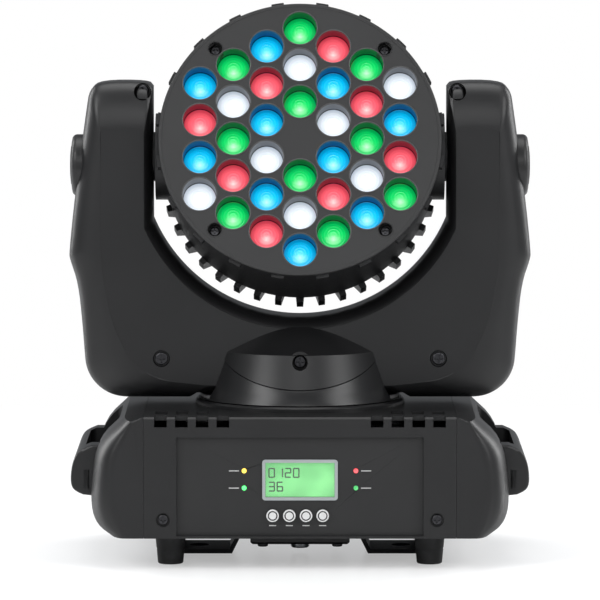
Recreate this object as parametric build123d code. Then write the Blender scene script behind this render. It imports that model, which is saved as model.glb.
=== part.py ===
from build123d import *
import math
import os

# A 36-lamp moving head light. Millimetres, +Z up, the front faces -Y.
# The origin is where the pan axis meets the surface that the feet stand on.

# ---- Driving dimensions -------------------------------------------------------------------
CLEAR = 0.3          # gap between curved faces that move past each other
FIT = 0.05           # radial clearance of a shaft in its bearing
SEAT = 0.15          # gap between shaped faces of pieces that are screwed together
WALL = 3.0           # moulded plastic wall
SHEET = 2.0          # folded steel sheet

# Base
BASE_HALF_DEPTH = 93.0
BASE_BOTTOM = 20.0
BASE_TOP = 97.5
SEAM_X = 99.5
PANEL_HALF_WIDTH = 78.5
PANEL_BOTTOM = 21.5
PANEL_TOP = 84.7
VENT_WIDTH = 8.0
VENT_PITCH = 13.2
VENT_COUNT = 4
VENT_FIRST_X = 48.9
VENT_BOTTOM = 91.0
VENT_DEPTH = 9.0
LIP_DEPTH = 12.0
REAR_INSET = 3.0     # the back wall stands inside the end caps, clear of its sockets
BASE_SCREW_X = 87.0
BASE_SCREW_Z = 32.0
PLATE_Z = 66.0       # underside of the steel plate that carries the pan bearing
POST_X = 80.0
POST_Y = 44.0
POST_R = 4.0

# End caps and their handles
CAP_SHOULDER_Y = 65.0
HANDLE_HALF_LENGTH = 60.0
HANDLE_OUT_X = 147.3
GRIP_THICKNESS = 9.3
POCKET_HALF_LENGTH = 42.0
POCKET_FLOOR_X = 116.0
POCKET_BOTTOM = 41.0

# Feet and hanging brackets
FOOT_X = 83.0
FOOT_Y = 60.0
FOOT_TOP_R = 10.0
FOOT_BOTTOM_R = 8.2
BRACKET_X = 65.6
BRACKET_HALF_DEPTH = 22.0
BRACKET_DROP = 19.0
CLAMP_HOLE_R = 6.5
LOCK_OFFSET = 10.0
LOCK_R = 6.5
HATCH_HALF_WIDTH = 32.0
HATCH_DROP = 10.0
EYE_R = 6.0
EYE_HOLE_R = 2.6

# Controls
SCREEN_WIDTH = 44.0
SCREEN_HEIGHT = 22.0
SCREEN_Z = 57.2
BEZEL_RIM = 2.0
BUTTON_R = 4.0
BUTTON_Z = 34.5
BUTTON_PITCH = 10.6
BUTTON_FIRST_X = -17.4
BUTTON_TRAVEL = 1.2
LED_R = 1.5
LED_X = 35.5
LED_HIGH_Z = 63.0
LED_LOW_Z = 52.0

# Pan turntable
COLLAR_R = 68.0
COLLAR_TOP = 101.0
TURRET_GAP = 0.6
TURRET_FOOT_R = 66.0
TURRET_WAIST_R = 62.0
TURRET_WAIST_Z = 110.0
TURRET_TOP_R = 55.0
TURRET_TOP_Z = 133.5
PART_LINE_Z = 111.0
PART_LINE_RISE = 26.0
PAN_SHAFT_R = 14.0
PAN_SHAFT_BORE_R = 10.0
PAN_BEARING_R = 24.0
PAN_BEARING_WIDTH = 10.0
PAN_PULLEY_R = 30.0
MOTOR_PULLEY_R = 8.0
PULLEY_WIDTH = 8.0
BELT = 1.6
MOTOR_SIZE = 42.0
MOTOR_LENGTH = 38.0
MOTOR_SHAFT_R = 2.5
PAN_MOTOR_X = 56.0

# Yoke
YOKE_HALF_DEPTH = 29.0
YOKE_BAND = 12.0     # half width of the upright band between the two round bevels
YOKE_TOP = 306.9
YOKE_BOTTOM = 102.4
YOKE_CENTRE_BOTTOM = 105.2
ARM_INNER_X = 95.0
ARM_FLAT_INNER_X = 100.4
CROTCH_R = 103.0
CROTCH_FLAT_R = 110.0
TILT_Z = 257.5
YOKE_SCREW_X = 89.4
YOKE_SCREW_Z = 128.6
YOKE_SCREW_TOP_X = 101.5
YOKE_SCREW_TOP_Z = 300.5
YOKE_TOP_SEAT = 13.5
TURRET_SCREW_Z = 128.6
TURRET_SEAT = 48.0
FRAME_PLATE_X = 108.0
TILT_BEARING_R = 21.0
TILT_SHAFT_R = 12.0
TILT_PULLEY_R = 22.0
TILT_PULLEY_X = 114.0
TILT_MOTOR_Z = 153.0
SIDE_CAP_R = 20.0
SIDE_CAP_Z = 252.0

# Head, in its own frame: +Z out of the lamps, +Y up the face, the tilt axis along X
HEAD_REST_DEG = 20.0
FACE_R = 91.0
FACE_Z = 41.0
SHELL_R = 88.0
SHELL_BACK = -25.0
LUG_R = 93.0
LUG_WIDTH = 8.0
LUG_COUNT = 20
LAMP_PITCH = 24.75
WELL_R = 10.75
LENS_R = 10.45
LENS_Z = 29.0
LENS_DOME = 2.6
FACE_SCREW_R = 84.5
FACE_SCREW_DEG = 48.0
CORE_Z = 8.0
FIN_COUNT = 40
FIN_ROOT_WIDTH = 6.6
FIN_TIP_WIDTH = 4.0
FIN_ROOT_R = 58.0
FIN_TIP_R = 91.0
FIN_BACK = -62.0
FAN_HALF = 40.0
FAN_FRONT = -28.0
FAN_DEPTH = 25.0
FAN_ROTOR_R = 37.0
FAN_HUB_R = 17.0
FAN_BLADES = 7
FAN_SCREW = 35.75
FAN_POST = 33.0
REAR_COVER_R = 66.0
REAR_COVER_THICK = 4.0
PAD_R = 28.0
PAD_X = 93.4
HUB_R = 16.0

# Lamp colours, column by column from -X to +X, each from the top down; "-" is the bare middle
LAMP_COLUMNS = ["BRBW", "GWGRG", "BRBWBR", "GWG-GWB", "RBWBRG", "GRGWB", "WBRG"]
LAMP_NAMES = {"R": "red", "G": "green", "B": "blue", "W": "white"}

# ---- Worked out from the driving dimensions -----------------------------------------------
TURRET_BOTTOM = COLLAR_TOP + TURRET_GAP
FRONT_Y = -BASE_HALF_DEPTH
PANEL_Y = FRONT_Y + WALL + SEAT
REAR_Y = BASE_HALF_DEPTH - REAR_INSET
CHASSIS_HALF_DEPTH = BASE_HALF_DEPTH - 7.0
PLATE_TOP = PLATE_Z + SHEET
PULLEY_Z = PLATE_TOP + 6.0
FLANGE_Z = YOKE_CENTRE_BOTTOM + WALL + 1.8
FAN_BACK = FAN_FRONT - FAN_DEPTH
HEAD = Pos(0, 0, TILT_Z) * Rot(90 - HEAD_REST_DEG, 0, 0)


# ---- Helpers ------------------------------------------------------------------------------
def block(x0, x1, y0, y1, z0, z1):
    """A box between two corners."""
    centre = ((x0 + x1) / 2, (y0 + y1) / 2, (z0 + z1) / 2)
    return Pos(*centre) * Box(abs(x1 - x0), abs(y1 - y0), abs(z1 - z0))


def rod_z(radius, z0, z1, x=0.0, y=0.0):
    """A cylinder that stands along Z."""
    return Pos(x, y, (z0 + z1) / 2) * Cylinder(radius, abs(z1 - z0))


def rod_y(radius, y0, y1, x=0.0, z=0.0):
    """A cylinder that lies along Y."""
    return Pos(x, (y0 + y1) / 2, z) * Rot(90, 0, 0) * Cylinder(radius, abs(y1 - y0))


def rod_x(radius, x0, x1, y=0.0, z=0.0):
    """A cylinder that lies along X."""
    return Pos((x0 + x1) / 2, y, z) * Rot(0, 90, 0) * Cylinder(radius, abs(x1 - x0))


def pipe_z(outer, inner, z0, z1, x=0.0, y=0.0):
    """A tube that stands along Z."""
    return rod_z(outer, z0, z1, x, y) - rod_z(inner, z0 - 1, z1 + 1, x, y)


def pipe_x(outer, inner, x0, x1, z):
    """A tube that lies along X."""
    return rod_x(outer, x0, x1, 0, z) - rod_x(inner, min(x0, x1) - 1, max(x0, x1) + 1, 0, z)


def turned(points):
    """A solid turned about Z from an outline of (radius, z) points."""
    outline = make_face(Plane.XZ * Polyline(*points, close=True))
    return revolve(outline, Axis.Z)


def prism_y(points, y0, y1):
    """An outline of (x, z) points, drawn out along Y."""
    outline = make_face(Plane.XZ.offset(-y0) * Polyline(*points, close=True))
    return extrude(outline, dir=(0, 1, 0), amount=y1 - y0)


def both_sides(shape):
    """A shape and its mirror image in the YZ plane."""
    return [shape, mirror(shape, Plane.YZ)]


def screw(length, head_r=3.4, shank_r=1.6, head=2.2):
    """A pan-head screw: the head's seat is at z = 0 and the shank runs along -Z."""
    body = rod_z(head_r, 0, head) + rod_z(shank_r, -length, 0)
    body = fillet(body.edges().group_by(Axis.Z)[-1], 0.8)
    slot = Box(head_r * 1.2, 0.8, 1.2)
    return body - Pos(0, 0, head) * (slot + Rot(0, 0, 90) * slot)


def save(name, shapes):
    """Write one node: a solid, or a group of separate solids."""
    parts = shapes if isinstance(shapes, (list, tuple)) else [shapes]
    solids = [solid for shape in parts for solid in shape.solids()]
    whole = solids[0] if len(solids) == 1 else Compound(children=solids)
    export_step(whole, "parts/" + name + ".step")


# ---- Base: covers -------------------------------------------------------------------------
def vent_positions():
    """The X centre of each vent slot, both sides of the middle."""
    right = [VENT_FIRST_X + i * VENT_PITCH for i in range(VENT_COUNT)]
    return [-x for x in right] + right


def base_front_cover():
    """The front wall with a lip that turns over the top edge, open for the control panel."""
    edge = SEAM_X - SEAT
    wall = block(-edge, edge, FRONT_Y, FRONT_Y + WALL, BASE_BOTTOM, BASE_TOP)
    lip = block(-edge, edge, FRONT_Y, FRONT_Y + LIP_DEPTH, BASE_TOP - WALL, BASE_TOP)
    cover = wall + lip
    cover = chamfer(cover.edges().filter_by(Axis.X).group_by(Axis.Z)[-1].sort_by(Axis.Y)[0], 1.2)
    cover -= block(-PANEL_HALF_WIDTH, PANEL_HALF_WIDTH, FRONT_Y - 1, FRONT_Y + WALL + 1,
                   PANEL_BOTTOM, PANEL_TOP)
    for x in vent_positions():
        cover -= block(x - VENT_WIDTH / 2, x + VENT_WIDTH / 2, FRONT_Y - 1,
                       FRONT_Y + VENT_DEPTH, VENT_BOTTOM, BASE_TOP + 1)
    for x in (-BASE_SCREW_X, BASE_SCREW_X):
        cover += rod_y(6.0, FRONT_Y + WALL, FRONT_Y + 9.0, x, BASE_SCREW_Z)
        cover -= rod_y(4.5, FRONT_Y - 1, FRONT_Y + 2.5, x, BASE_SCREW_Z)
        cover -= rod_y(1.9, FRONT_Y, FRONT_Y + 10.0, x, BASE_SCREW_Z)
    return cover


def base_top_cover():
    """The top plate, with the hole that the pan collar sits in and two rows of vents."""
    edge = SEAM_X - SEAT
    cover = block(-edge, edge, FRONT_Y + LIP_DEPTH + SEAT, BASE_HALF_DEPTH,
                  BASE_TOP - WALL, BASE_TOP)
    cover -= rod_z(COLLAR_R - 6.0, BASE_TOP - 10, BASE_TOP + 10)
    for x in vent_positions():
        if abs(x) > 60:
            for y in (-66.0, 66.0):
                cover -= block(x - VENT_WIDTH / 2, x + VENT_WIDTH / 2, y - 9, y + 9,
                               BASE_TOP - 5, BASE_TOP + 1)
    return cover


REAR_SOCKETS = {"inlet": -62.0, "dmx_in": 18.0, "dmx_out": 58.0}
SOCKET_Z = 58.0
DMX_R = 12.0
INLET_HALF_W = 13.8
INLET_HALF_H = 10.2
FUSE_HEIGHT = 9.0


def base_rear_panel():
    """The back wall, with the holes for the mains inlet and the two data sockets."""
    edge = SEAM_X - SEAT
    top = BASE_TOP - WALL - SEAT
    panel = block(-edge, edge, REAR_Y - WALL, REAR_Y, BASE_BOTTOM, top)
    x = REAR_SOCKETS["inlet"]
    panel -= block(x - INLET_HALF_W - SEAT, x + INLET_HALF_W + SEAT, 80, 100,
                   SOCKET_Z - INLET_HALF_H - SEAT,
                   SOCKET_Z + INLET_HALF_H + FUSE_HEIGHT + SEAT)
    for key in ("dmx_in", "dmx_out"):
        panel -= rod_y(DMX_R + SEAT, 80, 100, REAR_SOCKETS[key], SOCKET_Z)
    for x in (-BASE_SCREW_X, BASE_SCREW_X):
        panel -= rod_y(1.9, 80, 100, x, BASE_SCREW_Z)
    return panel


def base_screws():
    """Two screws in the front cover's recesses and two in the rear panel."""
    pieces = []
    for x in (-BASE_SCREW_X, BASE_SCREW_X):
        front = Pos(x, FRONT_Y + 2.5, BASE_SCREW_Z) * Rot(90, 0, 0)
        back = Pos(x, REAR_Y, BASE_SCREW_Z) * Rot(-90, 0, 0)
        pieces += [front * screw(8.0), back * screw(8.0)]
    return pieces


def cap_section(points, y):
    """A closed outline of an end cap across the depth."""
    return make_face(Plane.XZ.offset(-y) * Polyline(*points, close=True))


def end_cap():
    """The right-hand end cap with its moulded carrying handle."""
    x0 = SEAM_X
    top = BASE_TOP
    flat = [(x0, BASE_BOTTOM), (111, BASE_BOTTOM), (114.5, 28), (118.4, 45), (119.0, 60),
            (115.6, 76), (106.5, 94.5), (x0, top)]
    full = [(x0, BASE_BOTTOM), (121, BASE_BOTTOM), (130, 26), (134, 38), (133, 58),
            (129.5, 79.5), (112, 95.5), (x0, top)]
    front = loft([cap_section(flat, FRONT_Y), cap_section(full, -CAP_SHOULDER_Y)], ruled=True)
    body = front + prism_y(full, -CAP_SHOULDER_Y, CAP_SHOULDER_Y) + mirror(front, Plane.XZ)
    grip = [(126, 76), (134, 76), (141, 73), (144, 69.5), (146.5, 62.5), (HANDLE_OUT_X, 54),
            (146.6, 49), (144, 46.2), (139.3, 44), (126, 42.6)]
    body += prism_y(grip, -HANDLE_HALF_LENGTH, HANDLE_HALF_LENGTH)
    body -= block(POCKET_FLOOR_X, HANDLE_OUT_X - GRIP_THICKNESS, -POCKET_HALF_LENGTH,
                  POCKET_HALF_LENGTH, POCKET_BOTTOM, top + 5)
    slot = SlotOverall(13.6, 5.2)
    for side in (-1, 1):
        hole = Pos(137.6, side * (HANDLE_HALF_LENGTH + 1), 54) * Rot(90, 0, 0) * Rot(0, 0, 90)
        body -= extrude(hole * slot, amount=8, both=True)
        groove = [(128, 79.6), (131.5, 79.6), (131.5, 76), (128, 76)]
        lower = [(131.5, 42.6), (136, 42.6), (136, 40.4), (131.5, 40.4)]
        y0, y1 = sorted((side * POCKET_HALF_LENGTH, side * CAP_SHOULDER_Y))
        body -= prism_y(groove, y0, y1) + prism_y(lower, y0, y1)
    inner = POCKET_FLOOR_X - WALL
    body -= block(x0 - 1, inner - 5, 8 + FRONT_Y, BASE_HALF_DEPTH - 8,
                  BASE_BOTTOM + WALL, top - 2 * WALL)
    return body


# ---- Base: feet, brackets and the underside -----------------------------------------------
def feet():
    """Four tapered rubber feet."""
    foot = turned([(0, 0), (FOOT_BOTTOM_R, 0), (FOOT_TOP_R, BASE_BOTTOM), (0, BASE_BOTTOM)])
    foot = fillet(foot.edges().group_by(Axis.Z)[0], 1.0)
    return [Pos(x, y, 0) * foot for x in (-FOOT_X, FOOT_X) for y in (-FOOT_Y, FOOT_Y)]


def bracket():
    """The right-hand hanging bracket: a folded strip whose low flat takes a clamp bolt."""
    t = 3.0
    low = BASE_BOTTOM - BRACKET_DROP
    top = BASE_BOTTOM
    run = 21.5
    rise = 31.0
    outer = [(-4, top), (-rise, top), (-run, low), (run, low), (rise, top), (4, top),
             (4, top - t), (rise - 4.6, top - t), (run - 1.6, low + t), (1.6 - run, low + t),
             (4.6 - rise, top - t), (-4, top - t)]
    strip = prism_y(outer, -BRACKET_HALF_DEPTH, BRACKET_HALF_DEPTH)
    strip = Pos(BRACKET_X, 0, 0) * strip
    strip -= rod_z(CLAMP_HOLE_R, low - 1, low + t + 1, BRACKET_X)
    for side in (-1, 1):
        strip -= rod_z(3.2, top - t - 1, top + 1, BRACKET_X + side * LOCK_OFFSET)
    return strip


def quarter_turn_locks():
    """Four knurled quarter-turn locks that hold the brackets on."""
    pieces = []
    seat = BASE_BOTTOM - 3.0
    for side in (-1, 1):
        for offset in (-LOCK_OFFSET, LOCK_OFFSET):
            x = side * BRACKET_X + offset
            knob = extrude(Pos(x, 0, seat) * RegularPolygon(LOCK_R, 16), amount=-7.0)
            pieces.append(knob + rod_z(3.0, seat, BASE_BOTTOM + SHEET - SEAT, x))
    return pieces


def bottom_hatch():
    """The raised cover over the lower end of the pan shaft, between the two brackets."""
    low = BASE_BOTTOM - HATCH_DROP
    half = HATCH_HALF_WIDTH
    hatch = block(-half, half, -46, 46, low, BASE_BOTTOM)
    hatch = chamfer(hatch.faces().sort_by(Axis.Z)[0].edges(), 1.5)
    hatch -= block(WALL - half, half - WALL, WALL - 46, 46 - WALL, low + WALL, BASE_BOTTOM + 1)
    hatch -= rod_z(3.05, low - 1, low + WALL + 1)
    for x in (8.0 - half, half - 8.0):
        for y in (-38.0, 38.0):
            hatch -= rod_z(1.9, low - 1, low + WALL + 1, x, y)
    return hatch


def hatch_screws():
    """Four screws under the hatch."""
    low = BASE_BOTTOM - HATCH_DROP
    near = HATCH_HALF_WIDTH - 8.0
    return [Pos(x, y, low) * Rot(180, 0, 0) * screw(14.0) for x in (-near, near) for y in (-38, 38)]


def safety_eye():
    """The eye under the middle that a safety wire goes through."""
    low = BASE_BOTTOM - HATCH_DROP
    eye = rod_z(EYE_R, 2.3, low) + rod_z(3.0, low, BASE_BOTTOM + 6)
    eye = chamfer(eye.edges().group_by(Axis.Z)[0], 0.8)
    return eye - rod_y(EYE_HOLE_R, -10, 10, 0, 6.0)


def chassis():
    """The steel floor pan of the base with its folded sides and the four bearing-plate posts."""
    x1 = SEAM_X - 4
    y1 = CHASSIS_HALF_DEPTH
    pan = block(-x1, x1, -y1, y1, BASE_BOTTOM, BASE_BOTTOM + SHEET)
    for side in (-1, 1):
        pan += block(side * (x1 - SHEET), side * x1, -y1, y1, BASE_BOTTOM, BASE_BOTTOM + 12)
        for x in (-POST_X, POST_X):
            pan += rod_z(POST_R, BASE_BOTTOM, PLATE_Z, x, side * POST_Y)
        for offset in (-LOCK_OFFSET, LOCK_OFFSET):
            pan -= rod_z(3.2, 15, 30, side * BRACKET_X + offset)
    pan -= rod_z(3.05, 15, 30)
    near = HATCH_HALF_WIDTH - 8.0
    for x in (-near, near):
        for y in (-38, 38):
            pan -= rod_z(1.75, 15, 30, x, y)
    for x in (-FOOT_X, FOOT_X):
        for y in (-FOOT_Y, FOOT_Y):
            pan += rod_z(3.0, BASE_BOTTOM + SHEET, BASE_BOTTOM + 5, x, y)
    return pan


# ---- Base: control panel ------------------------------------------------------------------
def button_positions():
    """The X centre of each menu button."""
    return [BUTTON_FIRST_X + i * BUTTON_PITCH for i in range(4)]


def control_panel():
    """The panel behind the front opening, with holes for the screen, buttons and lights."""
    half = PANEL_HALF_WIDTH + 2.0
    panel = block(-half, half, PANEL_Y, PANEL_Y + WALL, PANEL_BOTTOM - 1.0, PANEL_TOP + 3.0)
    panel -= block(-SCREEN_WIDTH / 2 - SEAT, SCREEN_WIDTH / 2 + SEAT, FRONT_Y - 1, PANEL_Y + 9,
                   SCREEN_Z - SCREEN_HEIGHT / 2 - SEAT, SCREEN_Z + SCREEN_HEIGHT / 2 + SEAT)
    for x in button_positions():
        panel -= rod_y(BUTTON_R - 1.0 + CLEAR, FRONT_Y - 1, PANEL_Y + 9, x, BUTTON_Z)
    for x in (-LED_X, LED_X):
        for z in (LED_LOW_Z, LED_HIGH_Z):
            panel -= rod_y(LED_R + SEAT, FRONT_Y - 1, PANEL_Y + 9, x, z)
    return panel


def screen_bezel():
    """The raised rim round the screen."""
    w = SCREEN_WIDTH / 2 + BEZEL_RIM
    h = SCREEN_HEIGHT / 2 + BEZEL_RIM
    rim = block(-w, w, PANEL_Y - 0.9, PANEL_Y, SCREEN_Z - h, SCREEN_Z + h)
    rim = fillet(rim.edges().filter_by(Axis.Y), 2.0)
    rim -= block(-SCREEN_WIDTH / 2, SCREEN_WIDTH / 2, PANEL_Y - 3, PANEL_Y + 3,
                 SCREEN_Z - SCREEN_HEIGHT / 2, SCREEN_Z + SCREEN_HEIGHT / 2)
    return rim


def screen_window():
    """The clear window in front of the screen."""
    w = SCREEN_WIDTH / 2
    h = SCREEN_HEIGHT / 2
    return block(-w, w, PANEL_Y - 0.3, PANEL_Y + 1.0, SCREEN_Z - h, SCREEN_Z + h)


def screen_module():
    """The lit character screen behind the window."""
    w = SCREEN_WIDTH / 2
    h = SCREEN_HEIGHT / 2
    front = block(-w, w, PANEL_Y + 1.2, PANEL_Y + 4.5, SCREEN_Z - h, SCREEN_Z + h)
    return front + block(-w - 6, w + 6, PANEL_Y + 4.0, PANEL_Y + 8.0, SCREEN_Z - h, SCREEN_Z + h + 4)


def display_board():
    """The circuit board that carries the screen, the switches and the indicator lights."""
    board = block(-62, 62, PANEL_Y + 8.0, PANEL_Y + 9.6, 26, 76)
    for x in button_positions():
        y = PANEL_Y + WALL + 1.0 + BUTTON_TRAVEL
        board += block(x - 3, x + 3, y + 0.4, PANEL_Y + 8.0, BUTTON_Z - 3, BUTTON_Z + 3)
    return board


def menu_button(x):
    """One round menu button with a retaining flange behind the panel."""
    cap = rod_y(BUTTON_R, PANEL_Y - 1.4 - BUTTON_TRAVEL, PANEL_Y - BUTTON_TRAVEL - 0.2, x, BUTTON_Z)
    cap = fillet(cap.edges().group_by(Axis.Y)[0], 0.5)
    stem = rod_y(BUTTON_R - 1.0, PANEL_Y - BUTTON_TRAVEL - 0.2, PANEL_Y + WALL + 1.0, x, BUTTON_Z)
    flange = rod_y(BUTTON_R, PANEL_Y + WALL + 0.35, PANEL_Y + WALL + 1.0, x, BUTTON_Z)
    return cap + stem + flange


def indicator(x, z):
    """One round-nosed indicator light."""
    body = rod_y(LED_R, PANEL_Y - 0.6, PANEL_Y + 8.0, x, z)
    return fillet(body.edges().group_by(Axis.Y)[0], 0.6)


# ---- Base: what is inside -----------------------------------------------------------------
def bearing_plate():
    """The steel plate on the posts, with the housing of the pan bearing."""
    plate = block(-86, 86, -48, 48, PLATE_Z, PLATE_TOP)
    housing_r = PAN_BEARING_R + FIT + 5
    plate += rod_z(housing_r, PLATE_Z - PAN_BEARING_WIDTH - 2, PLATE_TOP)
    plate -= rod_z(PAN_BEARING_R + FIT, PLATE_Z - PAN_BEARING_WIDTH, PLATE_TOP + 1)
    plate -= rod_z(PAN_SHAFT_R + 4, 0, PLATE_TOP + 1)
    plate -= rod_z(11.5, PLATE_Z - 1, PLATE_TOP + 1, PAN_MOTOR_X)
    return plate


def bearing(outer_r, bore_r, width):
    """Both rings of a ball bearing and its balls, round Z from z = 0: outer, inner, balls."""
    mid = (outer_r + bore_r) / 2
    ball_r = (outer_r - bore_r) * 0.26
    groove = Pos(0, 0, width / 2) * Torus(mid, ball_r + CLEAR)
    outer = pipe_z(outer_r, mid + ball_r * 0.55, 0, width) - groove
    inner = pipe_z(mid - ball_r * 0.55, bore_r, 0, width) - groove
    count = int(math.pi * mid / ball_r * 0.8)
    balls = [Rot(0, 0, 360 * i / count) * Pos(mid, 0, width / 2) * Sphere(ball_r)
             for i in range(count)]
    return outer, inner, balls


def stepper():
    """A square stepper motor below z = 0, with its round spigot: the shaft leaves along +Z."""
    half = MOTOR_SIZE / 2
    body = block(-half, half, -half, half, -MOTOR_LENGTH, 0)
    body = chamfer(body.edges().filter_by(Axis.Z), 4.0)
    body += rod_z(11.0, 0, 1.8)
    return body - rod_z(MOTOR_SHAFT_R + CLEAR, -8, 3)


def motor_pulley(shaft_start, wheel_start):
    """A motor's shaft and toothed pulley, along +Z."""
    wheel = pipe_z(MOTOR_PULLEY_R, 1.0, wheel_start, wheel_start + PULLEY_WIDTH)
    rims = rod_z(MOTOR_PULLEY_R + 2.2, wheel_start - 1.2, wheel_start)
    rims += rod_z(MOTOR_PULLEY_R + 2.2, wheel_start + PULLEY_WIDTH, wheel_start + PULLEY_WIDTH + 1.2)
    return wheel + rims + rod_z(MOTOR_SHAFT_R, shaft_start, wheel_start + PULLEY_WIDTH + 2)


def big_pulley(radius, bore, start, tooth_count):
    """A driven pulley round Z with grooves for the belt's teeth."""
    wheel = pipe_z(radius, bore, start, start + PULLEY_WIDTH)
    notch = Box(0.9, 1.0, PULLEY_WIDTH + 2)
    notches = [Rot(0, 0, 360 * i / tooth_count) * Pos(radius, 0, start + PULLEY_WIDTH / 2) * notch
               for i in range(tooth_count)]
    return wheel - notches


def belt(big_r, small_r, distance, start):
    """A flat belt round two pulleys: the big one at the origin, the small one along +X."""
    def track(extra):
        big = big_r + extra
        small = small_r + extra
        lean = math.acos((big - small) / distance)
        c, s = math.cos(lean), math.sin(lean)
        top = Line((big * c, big * s), (distance + small * c, small * s))
        end = ThreePointArc((distance + small * c, small * s), (distance + small, 0),
                            (distance + small * c, -small * s))
        low = Line((distance + small * c, -small * s), (big * c, -big * s))
        back = ThreePointArc((big * c, -big * s), (-big, 0), (big * c, big * s))
        return make_face([top, end, low, back])
    loop = track(CLEAR + BELT) - track(CLEAR)
    return Pos(0, 0, start + 1) * extrude(loop, amount=PULLEY_WIDTH - 2)


def pan_shaft():
    """The hollow pan shaft: it rides in the bearing and its flange carries the yoke frame."""
    bearing_top = PLATE_Z
    shaft = rod_z(PAN_SHAFT_R, PLATE_Z - PAN_BEARING_WIDTH - 4, FLANGE_Z)
    shaft += rod_z(PAN_SHAFT_R + 3.0, bearing_top + 0.2, FLANGE_Z)
    shaft += rod_z(27.0, FLANGE_Z - 4, FLANGE_Z)
    shaft += rod_z(PAN_SHAFT_R, FLANGE_Z, FLANGE_Z + SHEET + 3)
    return shaft - rod_z(PAN_SHAFT_BORE_R, 0, 200)


def pan_collar():
    """The fixed ring under the turret."""
    ring = turned([(32, BASE_TOP), (COLLAR_R, BASE_TOP), (COLLAR_R, COLLAR_TOP - 1.2),
                   (COLLAR_R - 1.2, COLLAR_TOP), (32, COLLAR_TOP)])
    return ring + pipe_z(COLLAR_R - 6.0 - SEAT, 32, BASE_TOP - WALL, BASE_TOP)


def power_supply():
    """The power supply in its vented steel cage, on the floor pan at the left."""
    top = PLATE_Z - 14
    cage = block(-93, -34, -POST_Y + 6, POST_Y - 6, BASE_BOTTOM + SHEET, top)
    for i in range(7):
        x = -88 + i * 7.5
        cage -= block(x, x + 3.5, -30, 30, top - SHEET, top + 1)
    return cage


def driver_board():
    """The main circuit board behind the bearing plate's posts, with its chips and plugs."""
    z = BASE_BOTTOM + SHEET + 6
    y0, y1 = POST_Y + 6, CHASSIS_HALF_DEPTH - 2
    board = block(-30, 88, y0, y1, z, z + 1.6)
    chips = ((-18, 10, 10, 3.0), (2, 14, 14, 2.4), (26, 9, 16, 11.0), (44, 9, 16, 11.0),
             (64, 14, 14, 12.0))
    for x, width, depth, height in chips:
        y = y0 + 13
        board += block(x - width / 2, x + width / 2, y - depth / 2, y + depth / 2,
                       z + 1.6, z + 1.6 + height)
    for x in (-26, 84):
        for y in (y0 + 4, y1 - 4):
            board += rod_z(2.5, BASE_BOTTOM + SHEET, z, x, y)
    return board


def power_inlet():
    """A three-pin mains inlet with a fuse drawer above it."""
    x = REAR_SOCKETS["inlet"]
    back = REAR_Y
    low = SOCKET_Z - INLET_HALF_H
    high = SOCKET_Z + INLET_HALF_H + FUSE_HEIGHT
    flange = block(x - 17, x + 17, back, back + 1.5, low - 3, high + 3)
    body = block(x - INLET_HALF_W, x + INLET_HALF_W, back - 24, back, low, high) + flange
    body -= block(x - 12, x + 12, back - 16, back + 5, SOCKET_Z - 8.2, SOCKET_Z + 8.2)
    for dx, dz in ((-7, -1), (0, 3), (7, -1)):
        body += block(x + dx - 1, x + dx + 1, back - 17, back - 5, SOCKET_Z + dz - 2, SOCKET_Z + dz + 2)
    drawer = SOCKET_Z + INLET_HALF_H + 1.0
    rim = block(x - 11, x + 11, back + 0.7, back + 3, drawer, drawer + FUSE_HEIGHT - 2)
    rim -= block(x - 10.2, x + 10.2, back, back + 4, drawer + 0.8, drawer + FUSE_HEIGHT - 2.8)
    return body - rim


def data_socket(x, pins):
    """A round three-pole data socket with a square flange: pins, or holes for pins."""
    back = REAR_Y
    body = rod_y(DMX_R, back - 20, back, x, SOCKET_Z)
    flange = block(x - 13, x + 13, back, back + 2.0, SOCKET_Z - 15.5, SOCKET_Z + 15.5)
    body += fillet(flange.edges().filter_by(Axis.Y), 3.0)
    points = [(math.cos(math.radians(a)) * 4.6, math.sin(math.radians(a)) * 4.6)
              for a in (30, 150, 270)]
    if pins:
        body -= rod_y(10.0, back - 14, back + 5, x, SOCKET_Z)
        for dx, dz in points:
            body += rod_y(1.2, back - 15, back - 6, x + dx, SOCKET_Z + dz)
    else:
        core = rod_y(8.2, back - 15, back - 0.5, x, SOCKET_Z)
        body -= rod_y(10.0, back - 14, back + 5, x, SOCKET_Z)
        for dx, dz in points:
            core -= rod_y(1.5, back - 12, back + 1, x + dx, SOCKET_Z + dz)
        body += core
    return body


# ---- Yoke ---------------------------------------------------------------------------------
# The right half of the yoke's outline, from the arm's inner top corner out and down, once at
# its widest (the upright band) and once where the flat front begins.
WIDE = [(95.0, 303.2), (98.1, YOKE_TOP), (128.9, YOKE_TOP), (135.9, 301.5), (137.8, 290.0),
        (145.7, 232.5), (149.4, 196.5), (149.1, 192.0), (143.7, 176.4), (141.0, 150.5)]
FLAT = [(ARM_FLAT_INNER_X, 275.4), (101.6, 276.6), (127.4, 276.6), (128.4, 276.0), (128.6, 272.0),
        (128.7, 232.5), (128.6, 206.5), (128.4, 198.0), (127.4, 183.0), (121.4, 151.5)]
WIDE_CORNER = [(139.4, 128.0), (131.0, 109.6), (113.0, YOKE_BOTTOM)]
FLAT_CORNER = [(112.4, 132.5), (101.0, 120.4), (82.0, 113.6)]
WIDE_FOOT = [(72.0, YOKE_BOTTOM), (70.0, YOKE_CENTRE_BOTTOM)]
FLAT_FOOT = [(60.0, 111.2), (58.0, 111.0)]


def mix(a, b, t):
    """A point between two points."""
    return (a[0] + (b[0] - a[0]) * t, a[1] + (b[1] - a[1]) * t)


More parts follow.
